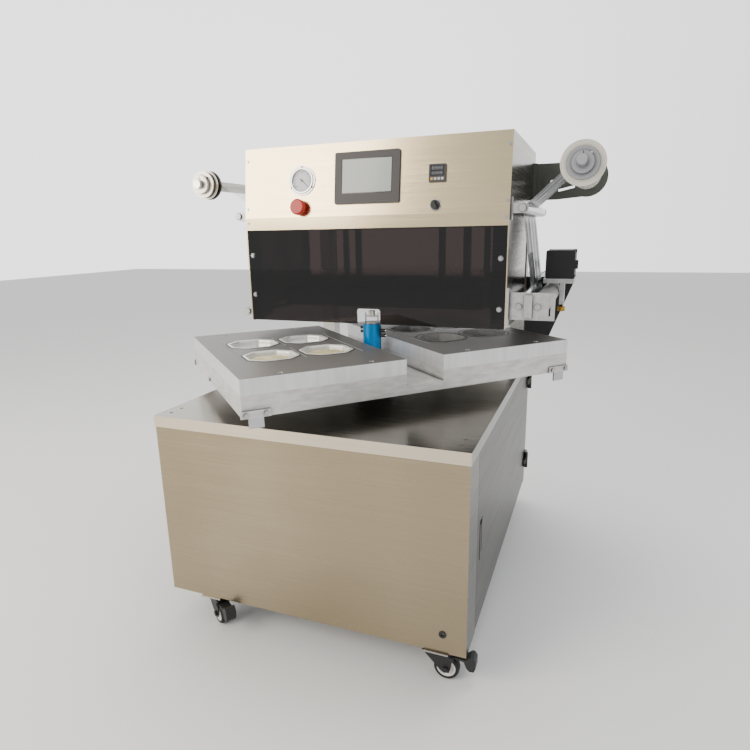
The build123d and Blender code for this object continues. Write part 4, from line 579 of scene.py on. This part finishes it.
class SEALER_OT_film(bpy.types.Operator):
    """Makes the film between the two reels and what is wound on them"""

    bl_idname = "sealer.film"
    bl_label = "Film"

    def execute(self, context):
        sizes = context.scene.sealer_sizes
        fold = sizes.fold_height / MM
        start, end = math.radians(55), math.radians(125)
        first = SUPPLY[2] + GUIDE_GAP
        last = REWIND[2] + GUIDE_GAP
        infeed, length = film_piece(
            "infeed_film",
            [(SUPPLY[0] + first * math.cos(start), SUPPLY[1] + first * math.sin(start), 0.0, 1),
             at_roller((-UPPER_GUIDE[0], *UPPER_GUIDE[1:]), -1), at_roller(LOWER_GUIDE, 1),
             (-HALF_MOULD, FILM_Z, 0.0, 1)],
            "film", fold, ((2, 0.12, 0.1), (5, 0.06, 0.4)), "film_infeed", sizes.film_thickness)
        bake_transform(infeed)
        web, length = film_piece(
            "web_film", [(-HALF_MOULD, FILM_Z, 0.0, 1), (HALF_MOULD, FILM_Z, 0.0, 1)],
            "film", 0.0, ((1, 0.0, 0.0),), "film_web", sizes.film_thickness)
        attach(web, "upper_press")
        outfeed, length = film_piece(
            "outfeed_film",
            [(HALF_MOULD, FILM_Z, 0.0, 1), at_roller(DRIVE, 1), at_roller(UPPER_GUIDE, -1),
             (REWIND[0] + last * math.cos(end), REWIND[1] + last * math.sin(end), 0.0, 1)],
            "shaded_used_film", fold, ((3, 0.45, 0.15), (7, 0.35, 0.6), (11, 0.2, 0.3)),
            "film_outfeed", sizes.film_thickness)
        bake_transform(outfeed)
        self.wound("supply_wound_film", SUPPLY, "wound_film", "supply", 0.5)
        self.wound("rewind_wound_film", REWIND, "wound_waste", "rewind", 0.85)
        return {"FINISHED"}

    @staticmethod
    def wound(name, reel, finish, body, unevenness):
        """Turns of film on a core: a tube whose radius drops by small waves along the width,
        where the edges of single turns show."""
        x, z, radius = reel
        along = np.linspace(FILM_Y[0], FILM_Y[1], 90)
        waves = np.sin(along / 3.1) * np.sin(along / 17.0 + 1.0)
        outer = radius + 0.15 - 0.3 * unevenness * (1 - waves) / 2
        core = radius - 0.9
        profile = np.concatenate([np.stack([along, outer], axis=-1),
                                  [(FILM_Y[1], core), (FILM_Y[0], core)]])
        piece = turned_ring(name, profile, (x, 0.0, z), (0.0, 1.0, 0.0), finish, body, 72)


# ---------------------------------------------------------------- casters
class SEALER_OT_wheels(bpy.types.Operator):
    """Makes the four caster wheels: rubber tyre, nylon rim and hub"""

    bl_idname = "sealer.wheels"
    bl_label = "Caster wheels"

    def execute(self, context):
        for name, body, trail in (("wheel_front_left", "front_left_wheel", -32.0),
                                  ("wheel_front_right", "front_right_wheel", 0.0),
                                  ("wheel_rear_left", "rear_left_wheel", 90.0),
                                  ("wheel_rear_right", "rear_right_wheel", 90.0)):
            low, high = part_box(name)
            centre = np.array((low + high) / 2) / MM
            turn = math.radians(trail)
            axis = (math.sin(turn), -math.cos(turn), 0.0)
            tyre = turned_ring(f"{name}_tyre", self.tyre_profile(), centre, axis, "tyre", body)
            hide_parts(name)
            rim = turned_ring(f"{name}_rim", self.rim_profile(), centre, axis, "rim", body,
                              swell=self.spokes)
        return {"FINISHED"}

    @staticmethod
    def tyre_profile():
        """Round-shouldered tread with a shallow groove in the middle; closed on the inside."""
        turn = np.linspace(-np.pi / 2, np.pi / 2, 33)
        wide = 11.8 * np.sign(np.sin(turn)) * np.abs(np.sin(turn)) ** 0.55
        high = 24.5 + 6.9 * np.cos(turn) ** 0.6 - 0.5 * np.exp(-(wide / 1.1) ** 2)
        inner = [(11.0, 23.4), (5.0, 23.0), (-5.0, 23.0), (-11.0, 23.4)]
        return np.concatenate([np.stack([wide, high], axis=-1), inner])

    @staticmethod
    def rim_profile():
        """Dished rim: raised ring against the tyre, thin web, and hub round the axle."""
        return [(10.6, 23.2), (10.9, 21.6), (10.2, 19.8), (4.2, 18.6), (3.4, 11.5), (9.6, 9.4),
                (11.2, 8.4), (11.2, 4.3), (-11.2, 4.3), (-11.2, 8.4), (-9.6, 9.4), (-3.4, 11.5),
                (-4.2, 18.6), (-10.2, 19.8), (-10.9, 21.6), (-10.6, 23.2)]

    @staticmethod
    def spokes(turn, along):
        """No swell on the rim itself; the web alone is drawn in between five ribs."""
        web = (np.abs(along) < 5.0) & (np.abs(along) > 3.0)
        return np.where(web, 0.35 * np.cos(5 * turn), 0.0)


# ---------------------------------------------------------------- trays and food
def cavity_outline(grow, count):
    """Outline of a cavity's cut-cornered rectangle, moved outwards by grow."""
    cut = CAVITY_CUT + grow * (math.sqrt(2) - 1) * math.sqrt(2) / 2
    return rounded_outline(octagon(CAVITY_L + 2 * grow, CAVITY_W + 2 * grow, cut), 4, count)


class SEALER_OT_trays(bpy.types.Operator):
    """Makes the four foil trays with rolled rims, corrugated corners and stepped floors"""

    bl_idname = "sealer.trays"
    bl_label = "Foil trays"

    def execute(self, context):
        for index, (u, v) in enumerate(TRAY_PLACES, 1):
            rings = np.array([self.ring(grow, z, ripple) for grow, z, ripple in self.profile()])
            rings = on_table(rings + np.array((u, v, 0.0)))
            points, faces = loft(rings)
            tray = make_piece(f"foil_tray_{index}", points, faces, "tray",
                              f"tray_body_{index}")
            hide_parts(f"tray_{index}")
        return {"FINISHED"}

    @staticmethod
    def profile():
        """Outline growth, height and corrugation from the outer floor's middle, up the outside,
        over the rolled rim, down the inside to the inner floor."""
        low, top = LIP_Z - 28.8, LIP_Z
        return ((-20.0, low, 0.0), (-5.5, low, 0.0), (-3.6, low + 2.0, 0.2),
                (-1.9, top - 8.0, 0.4), (-1.2, top - 2.0, 0.2), (-1.0, top + 0.1, 0.0),
                (4.6, top + 0.05, 0.0), (5.8, top + 0.15, 0.0), (6.0, top + 0.6, 0.0),
                (5.6, top + 1.1, 0.0), (4.9, top + 1.15, 0.0), (4.2, top + 0.8, 0.0),
                (1.2, top + 0.75, 0.0), (0.2, top + 0.9, 0.0), (-1.2, top + 0.5, 0.0),
                (-2.2, top - 2.0, 0.2), (-2.9, top - 8.0, 0.4), (-4.6, low + 2.6, 0.2),
                (-6.6, low + 0.9, 0.0), (-11.0, low + 0.8, 0.0), (-12.0, low + 1.3, 0.0),
                (-20.0, low + 1.3, 0.0))

    @staticmethod
    def ring(grow, z, ripple):
        """One outline of the tray at height z, wavy where the foil is drawn in."""
        flat = cavity_outline(grow, 320)
        turn = np.arange(320) * 2 * np.pi / 320
        length = np.hypot(flat[:, 0], flat[:, 1])
        flat = flat * (1 - (ripple * (1 + np.cos(64 * turn)) / 2 / length))[:, None]
        return np.concatenate([flat, np.full((320, 1), z)], axis=1)


class SEALER_OT_seals(bpy.types.Operator):
    """Makes the silicone seals round all eight cavities of the lower moulds"""

    bl_idname = "sealer.seals"
    bl_label = "Cavity seals"

    def execute(self, context):
        shapes = []
        for side in (1.0, -1.0):
            for u, v in TRAY_PLACES:
                rings = []
                for grow, z in ((7.4, MOULD_TOP - 0.5), (7.4, MOULD_TOP + 0.35),
                                (8.9, MOULD_TOP + 0.7), (10.4, MOULD_TOP + 0.35),
                                (10.4, MOULD_TOP - 0.5)):
                    flat = cavity_outline(grow, 200)
                    rings.append(np.concatenate([flat + (side * u, v), np.full((200, 1), z)],
                                                axis=1))
                shapes.append((on_table(np.array(rings)), ring_faces(5, 200, True)))
        seals = join_pieces("cavity_seals", shapes, "seal", "table", True)
        return {"FINISHED"}


class SEALER_OT_food(bpy.types.Operator):
    """Fills two trays with a lumpy portion each"""

    bl_idname = "sealer.food"
    bl_label = "Food portions"

    def execute(self, context):
        height = context.scene.sealer_sizes.food_height / MM
        for number, shift in ((1, 0.0), (3, 2.4)):
            u, v = TRAY_PLACES[number - 1]
            points, faces = self.portion(height, shift)
            piece = make_piece(f"food_portion_{number}",
                               on_table(points + np.array((u, v, 0.0))), faces, "food",
                               f"tray_body_{number}")
        return {"FINISHED"}

    @staticmethod
    def portion(height, shift):
        """Rings of the tray's outline from the middle outwards. The top is a low dome plus three
        crossed sine fields as lumps; the foot is the tray's floor."""
        low = LIP_Z - 27.3
        edge = rounded_outline(octagon(120.5, 116.5, 31.0), 6, 160)
        share = np.linspace(0.02, 1.0, 60)[:, None, None]
        flat = edge[None, :, :] * share
        x, y = flat[..., 0], flat[..., 1]
        lumps = (1.5 * np.sin(x / 6.1 + shift) * np.sin(y / 5.3 - shift)
                 + 1.0 * np.sin(x / 3.2 + y / 4.1 + 2 * shift)
                 + 0.6 * np.sin(x / 1.9 - y / 2.3))
        s = share[..., 0]
        rise = height * (1 - 0.28 * s ** 2) * (1 - 0.35 * np.clip((s - 0.86) / 0.14, 0, 1) ** 2)
        top = np.concatenate([flat, (low + rise + lumps * (1 - s ** 6))[..., None]], axis=-1)
        foot = np.concatenate([edge * 0.97, np.full((160, 1), low)], axis=1)
        return loft(np.concatenate([top, foot[None]]))


# ---------------------------------------------------------------- instruments

def tick(angle, inner, outer, half):
    """A dial mark from inner to outer radius, half as wide as half says, on the dial."""
    along = np.array((math.cos(angle), math.sin(angle)))
    side = np.array((-along[1], along[0])) * half
    flat = np.array([along * inner - side, along * inner + side, along * outer + side,
                     along * outer - side]) + np.array(GAUGE)
    rings = [np.stack([flat[:, 0], np.full(4, depth), flat[:, 1]], axis=-1)
             for depth in (-1.3, -1.62)]
    return loft(on_panel(np.array(rings)))


def panel_turned(profile, centre, count=72, swell=None):
    """Turned piece on the instrument panel: along is the distance in front of the sheet."""
    rings = turned([(-a, r) for a, r in profile], (centre[0], 0.0, centre[1]), (0.0, 1.0, 0.0),
                   count, swell)
    return on_panel(rings)


class SEALER_OT_gauge(bpy.types.Operator):
    """Makes the vacuum gauge's dial, its marks and its glass"""

    bl_idname = "sealer.gauge"
    bl_label = "Vacuum gauge"

    def execute(self, context):
        points, faces = loft(panel_turned([(1.02, 32.8), (1.35, 32.8), (1.4, 32.4)], GAUGE))
        make_piece("gauge_dial", points, faces, "dial", "machine_frame", False)
        marks = []
        for k in range(31):
            angle = math.radians(225 - 9 * k)
            long = k % 5 == 0
            marks.append(tick(angle, 21.5 if long else 24.2, 28.0, 0.6 if long else 0.28))
        for k in range(60):
            angle = math.radians(225 - 4.5 * k)
            marks.append(tick(angle, 27.8, 28.5, 1.12))
        join_pieces("gauge_marks", marks, "ink", "machine_frame")
        dome = [(4.6, 32.7), (5.4, 32.6), (5.7, 28.6), (6.0, 20.0), (6.1, 9.0), (6.1, 2.0)]
        points, faces = loft(panel_turned([(4.6, 2.0)] + dome, GAUGE))
        make_piece("gauge_glass", points, faces, "glass", "machine_frame")
        return {"FINISHED"}


class SEALER_OT_screen(bpy.types.Operator):
    """Makes the touch panel's glass with its dark border"""

    bl_idname = "sealer.screen"
    bl_label = "Touch screen"

    def execute(self, context):
        up = SCREEN_UP
        border = panel_tile(-77.6, 77.6, up - 43.6, up + 53.6, -5.5, -5.1, 0.1, 1, 400)
        make_piece("screen_border", *border, "window", "machine_frame", False)
        glass = panel_tile(-75.5, 75.5, up - 41.6, up + 51.6, -5.9, -5.4, 0.2, 1, 400)
        make_piece("screen_glass", *glass, "screen", "machine_frame", False)
        return {"FINISHED"}


class SEALER_OT_controller(bpy.types.Operator):
    """Makes the temperature controller's display window, its dim segments and its keys"""

    bl_idname = "sealer.controller"
    bl_label = "Temperature controller"

    def execute(self, context):
        x, up = CONTROLLER
        window = panel_tile(x - 19.6, x + 19.6, up - 7.6, up + 19.6, -5.3, -4.7, 0.2, 1)
        make_piece("controller_window", *window, "window", "machine_frame", False)
        bars = []
        for row, tall in ((9.5, 8.0), (-3.5, 6.5)):
            for k in range(4):
                left = x - 15.5 + 8.0 * k
                for side in (0.0, 4.6):
                    bars.append(panel_tile(left + side, left + side + 0.9, up + row + 0.6,
                                           up + row + tall - 0.6, -5.42, -5.2, 0.05, 1))
                for level in (0.0, tall / 2, tall):
                    bars.append(panel_tile(left + 0.9, left + 4.6, up + row + level - 0.45,
                                           up + row + level + 0.45, -5.42, -5.2, 0.05, 1))
        join_pieces("controller_segments", bars, "segment", "machine_frame")
        for k in range(4):
            left = x - 15 + 10 * k
            cap = panel_tile(left - 3.7, left + 3.7, up - 19.1, up - 11.9, -7.1, -5.9, 0.5, 3)
            make_piece(f"controller_key_{k + 1}", *cap, "key" if k else "amber",
                               "machine_frame")
        return {"FINISHED"}


# ---------------------------------------------------------------- small turned parts
class SEALER_OT_ring(bpy.types.Operator):
    """Makes the chromed ring round the selector"""

    bl_idname = "sealer.ring"
    bl_label = "Selector ring"

    def execute(self, context):
        rings = panel_turned([(0.05, 12.7), (2.0, 12.7), (2.8, 13.4), (2.4, 15.4), (0.05, 16.2)],
                             SELECTOR)
        ring = make_piece("selector_ring", rings, ring_faces(5, 72, True), "chrome",
                          "machine_frame")
        return {"FINISHED"}


class SEALER_OT_knob(bpy.types.Operator):
    """Makes the knurled brass knob under the motor shelf"""

    bl_idname = "sealer.knob"
    bl_label = "Nip pressure knob"

    def execute(self, context):
        x, y, z = KNOB
        along = np.linspace(-2.5, 10.5, 27)
        profile = np.concatenate([[(-4.0, 4.0), (-4.0, 10.6)],
                                  np.stack([along, np.full(27, 11.7)], axis=-1),
                                  [(12.0, 10.6), (12.0, 4.1), (49.9, 4.0), (49.9, 3.4)]])
        knob = turned_solid("brass_knob", profile, (x, y, z), (0.0, 0.0, 1.0), "brass",
                            "nip_screw", 144, self.knurl)
        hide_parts("nip_knob")
        return {"FINISHED"}

    @staticmethod
    def knurl(turn, along):
        """Crossed helical teeth, 36 round the knob, on its rim only."""
        rim = (along > -3.0) & (along < 11.0)
        teeth = np.cos(36 * turn + along * 1.5) * np.cos(36 * turn - along * 1.5)
        return np.where(rim, 0.25 * teeth, 0.0)


# ---------------------------------------------------------------- finishes of the CAD nodes
NODE_FINISH = {
    "frame_steel": ("base_frame",),
    "shell_steel": ("cabinet_shell",),
    "lid_steel": ("cabinet_lid",),
    "shaded_door_steel": ("door_panel",),
    "front_steel": ("control_panel", "side_panels", "head_cover"),
    "ink": ("gauge_needle",),
    "bright_steel": ("fasteners", "press_carriage", "motor_shaft",
                     "upper_right_roller", "drive_roller", "vacuum_gauge"),
    "plate_steel": ("press_frame", "caster_plates"),
    "satin_aluminium": ("upper_mould", "press_cylinders", "roller_brackets", "motor_bracket",
                        "upper_left_roller", "lower_left_roller", "table_hardware"),
    "table_aluminium": ("turntable",),
    "mould": ("lower_moulds",),
    "cream_aluminium": ("supply_reel", "rewind_reel"),
    "arm_grey": ("film_arms",),
    "black_plastic": ("cabinet_fittings", "selector_knob", "drive_belt", "door_lock",
                      "rewind_motor"),
    "black_coat": ("film_motor", "caster_fork_left", "caster_fork_right", "brake_pedal_left",
                   "brake_pedal_right", "table_drive", "vacuum_pump"),
    "rubber_cover": ("pressure_roller",),
    "bezel": ("touch_panel", "electrics"),
    "controller": ("temperature_controller",),
    "stop": ("estop_button",),
    "union": ("union_body",),
    "sensor": ("union_stator",),
    "guard": ("guard_window",),
}


def second_finish(node, finish, where):
    """Gives the faces of a CAD node whose middles pass the test another finish; where takes
    their x, y and z in mm."""
    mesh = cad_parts[node].data
    middles = np.empty(len(mesh.polygons) * 3, np.float32)
    mesh.polygons.foreach_get("center", middles)
    index = np.zeros(len(mesh.polygons), np.int32)
    mesh.polygons.foreach_get("material_index", index)
    mesh.materials.append(MATERIALS[finish])
    index[where(*(middles.reshape(-1, 3).T / MM))] = len(mesh.materials) - 1
    mesh.polygons.foreach_set("material_index", index)


def from_axis(centre, a, b):
    """Distance of points from an axis through centre, across the two given coordinates."""
    return np.hypot(a - centre[0], b - centre[1])


def gauge_screws(x, y, z):
    """The faces of the three screws in the gauge's flange: outside its raised ring, and more
    than the flange's 3 mm in front of the panel."""
    up = (z - BEND_Z) * math.cos(LEAN) + (y - FRONT) * math.sin(LEAN)
    proud = (z - BEND_Z) * math.sin(LEAN) - (y - FRONT) * math.cos(LEAN)
    return (from_axis(GAUGE, x, up) > 37.1) & (proud > 3.05)


SECOND_FINISHES = (
    ("motor_bracket", "black_coat", lambda x, y, z: (y > 480.0) & (z < 886.0)),
    ("table_hardware", "black_plastic", lambda x, y, z: z > 735.5),
    ("table_hardware", "chrome", lambda x, y, z: (z > 735.5) & (np.abs(x) > 43.5)),
    ("turntable", "bright_steel", lambda x, y, z: z < 637.0),
    ("supply_reel", "dark_disc", lambda x, y, z: (y > 55.5) & (y < 66.5)),
    ("supply_reel", "chrome", lambda x, y, z: y < 9.5),
    ("rewind_reel", "chrome",
     lambda x, y, z: (y < 12.5) & (from_axis(REWIND[:2], x, z) < 13.5)),
    ("rewind_reel", "bright_steel", lambda x, y, z: (y > 12.5) & (y < 35.5)),
    ("fasteners", "chrome", lambda x, y, z: (z > 1090.0) & (x > 185.0) & (x < 230.0)),
    ("vacuum_gauge", "ink", gauge_screws),
    ("temperature_controller", "chrome", lambda x, y, z: x < 0.0),
    ("union_stator", "bright_steel", lambda x, y, z: z < 802.0),
)


class SEALER_OT_finishes(bpy.types.Operator):
    """Makes the materials and puts one on every CAD node that stays in sight"""

    bl_idname = "sealer.finishes"
    bl_label = "Finishes"

    def execute(self, context):
        MATERIALS.update(finishes(context.scene.sealer_colours))
        placed = set()
        for finish, nodes in NODE_FINISH.items():
            for node in nodes:
                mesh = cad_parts[node].data
                mesh.materials.clear()
                mesh.materials.append(MATERIALS[finish])
                placed.add(node)
        for node, finish, where in SECOND_FINISHES:
            second_finish(node, finish, where)
        for node in sorted(set(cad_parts) - placed):
            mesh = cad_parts[node].data
            mesh.materials.clear()
            mesh.materials.append(MATERIALS["rim"])
        return {"FINISHED"}


# ---------------------------------------------------------------- stage
class SEALER_OT_stage(bpy.types.Operator):
    """Makes the floor, the soft lights, the sky and the camera"""

    bl_idname = "sealer.stage"
    bl_label = "Floor, light and camera"

    def execute(self, context):
        scene = context.scene
        MATERIALS["floor"] = smooth_material("pale_studio_floor", "#f2f2f2", 0.6, 0.02)
        edge = np.linspace(-14000.0, 14000.0, 15)
        x, y = np.meshgrid(edge, edge, indexing="ij")
        points = np.stack([x, y, np.full_like(x, -0.4)], axis=-1)
        r, c = np.arange(14)[:, None] * 15, np.arange(14)[None, :]
        faces = np.stack([r + c, r + c + 15, r + c + 16, r + c + 1], axis=-1).reshape(-1, 4)
        make_piece("floor", points, faces.tolist(), "floor")
        world = bpy.data.worlds.new("studio")
        world.use_nodes = True
        tree = world.node_tree
        place = add(tree, "ShaderNodeTexCoord")
        parts = add(tree, "ShaderNodeSeparateXYZ", {"Vector": place.outputs["Generated"]})
        back = add(tree, "ShaderNodeMapRange",
                   {"Value": parts.outputs["Y"], "From Min": -0.25, "From Max": 0.5,
                    "To Min": 0.9, "To Max": 2.4}, interpolation_type="SMOOTHSTEP")
        right = add(tree, "ShaderNodeMapRange",
                    {"Value": parts.outputs["X"], "From Min": -0.5, "From Max": 0.7,
                     "To Min": 1.0, "To Max": 0.6}, interpolation_type="SMOOTHSTEP")
        high = add(tree, "ShaderNodeMapRange",
                   {"Value": parts.outputs["Z"], "From Min": 0.25, "From Max": 0.8,
                    "To Min": 1.0, "To Max": 0.55}, interpolation_type="SMOOTHSTEP")
        level = add(tree, "ShaderNodeMath",
                    {0: back.outputs["Result"], 1: right.outputs["Result"]},
                    operation="MULTIPLY")
        level = add(tree, "ShaderNodeMath", {0: level.outputs[0], 1: high.outputs["Result"]},
                    operation="MULTIPLY")
        sky = tree.nodes["Background"]
        sky.inputs["Color"].default_value = (1.0, 1.0, 1.0, 1.0)
        tree.links.new(level.outputs[0], sky.inputs["Strength"])
        scene.world = world
        for name, place, size, power, colour in (
                ("key_light", (-2.6, -3.2, 2.4), 2.6, 160.0, (1.0, 0.92, 0.80)),
                ("fill_light", (3.2, -1.6, 2.6), 1.6, 20.0, (0.92, 0.96, 1.0)),
                ("top_light", (0.2, 0.6, 3.6), 2.2, 60.0, (1.0, 1.0, 1.0))):
            data = bpy.data.lights.new(name, "AREA")
            data.size, data.energy, data.color = size, power, colour
            light = bpy.data.objects.new(name, data)
            aim = Vector((0.0, 0.0, 0.7)) - Vector(place)
            light.matrix_world = (Matrix.Translation(place)
                                  @ aim.to_track_quat("-Z", "Y").to_matrix().to_4x4())
            scene.collection.objects.link(light)
        self.camera(scene)
        return {"FINISHED"}

    @staticmethod
    def camera(scene):
        """Camera at chest height in front of the right corner, looking a little down."""
        data = bpy.data.cameras.new("camera")
        data.lens, data.sensor_width = scene.sealer_sizes.lens, 36.0
        data.shift_x, data.shift_y = 0.0004, 0.0036
        data.clip_start, data.clip_end = 0.05, 60.0
        camera = bpy.data.objects.new("camera", data)
        yaw, pitch, roll = (math.radians(a) for a in (-21.30, 14.13, -1.03))
        level = Vector((math.sin(yaw), math.cos(yaw), 0.0))
        across = Vector((math.cos(yaw), -math.sin(yaw), 0.0))
        upright = Vector((0.0, 0.0, 1.0))
        ahead = level * math.cos(pitch) - upright * math.sin(pitch)
        above = level * math.sin(pitch) + upright * math.cos(pitch)
        right = across * math.cos(roll) + above * math.sin(roll)
        top = above * math.cos(roll) - across * math.sin(roll)
        turn = Matrix((right, top, -ahead)).transposed().to_4x4()
        camera.matrix_world = Matrix.Translation((0.646, -1.667, 1.049)) @ turn
        scene.collection.objects.link(camera)
        scene.camera = camera


# ---------------------------------------------------------------- panel and start
class SEALER_PT_panel(bpy.types.Panel):
    """Lists every step of the machine in the sidebar"""

    bl_idname = "SEALER_PT_panel"
    bl_label = "Tray sealer"
    bl_space_type = "VIEW_3D"
    bl_region_type = "UI"
    bl_category = "Tray sealer"

    def draw(self, context):
        for group in (context.scene.sealer_sizes, context.scene.sealer_colours):
            for name in group.__annotations__:
                self.layout.prop(group, name)
        for step in STEPS:
            self.layout.operator(step.bl_idname)


STEPS = (SEALER_OT_finishes, SEALER_OT_film, SEALER_OT_wheels, SEALER_OT_trays,
         SEALER_OT_seals, SEALER_OT_food, SEALER_OT_gauge, SEALER_OT_screen,
         SEALER_OT_controller, SEALER_OT_ring, SEALER_OT_knob, SEALER_OT_stage)
CLASSES = (SealerSizes, SealerColours, *STEPS, SEALER_PT_panel)


def register():
    for item in CLASSES:
        bpy.utils.register_class(item)
    bpy.types.Scene.sealer_sizes = bpy.props.PointerProperty(type=SealerSizes)
    bpy.types.Scene.sealer_colours = bpy.props.PointerProperty(type=SealerColours)


def unregister():
    del bpy.types.Scene.sealer_sizes
    del bpy.types.Scene.sealer_colours
    for item in reversed(CLASSES):
        bpy.utils.unregister_class(item)


def main():
    register()
    for step in STEPS:
        group, name = step.bl_idname.split(".")
        getattr(getattr(bpy.ops, group), name)()


if __name__ == "__main__":
    main()
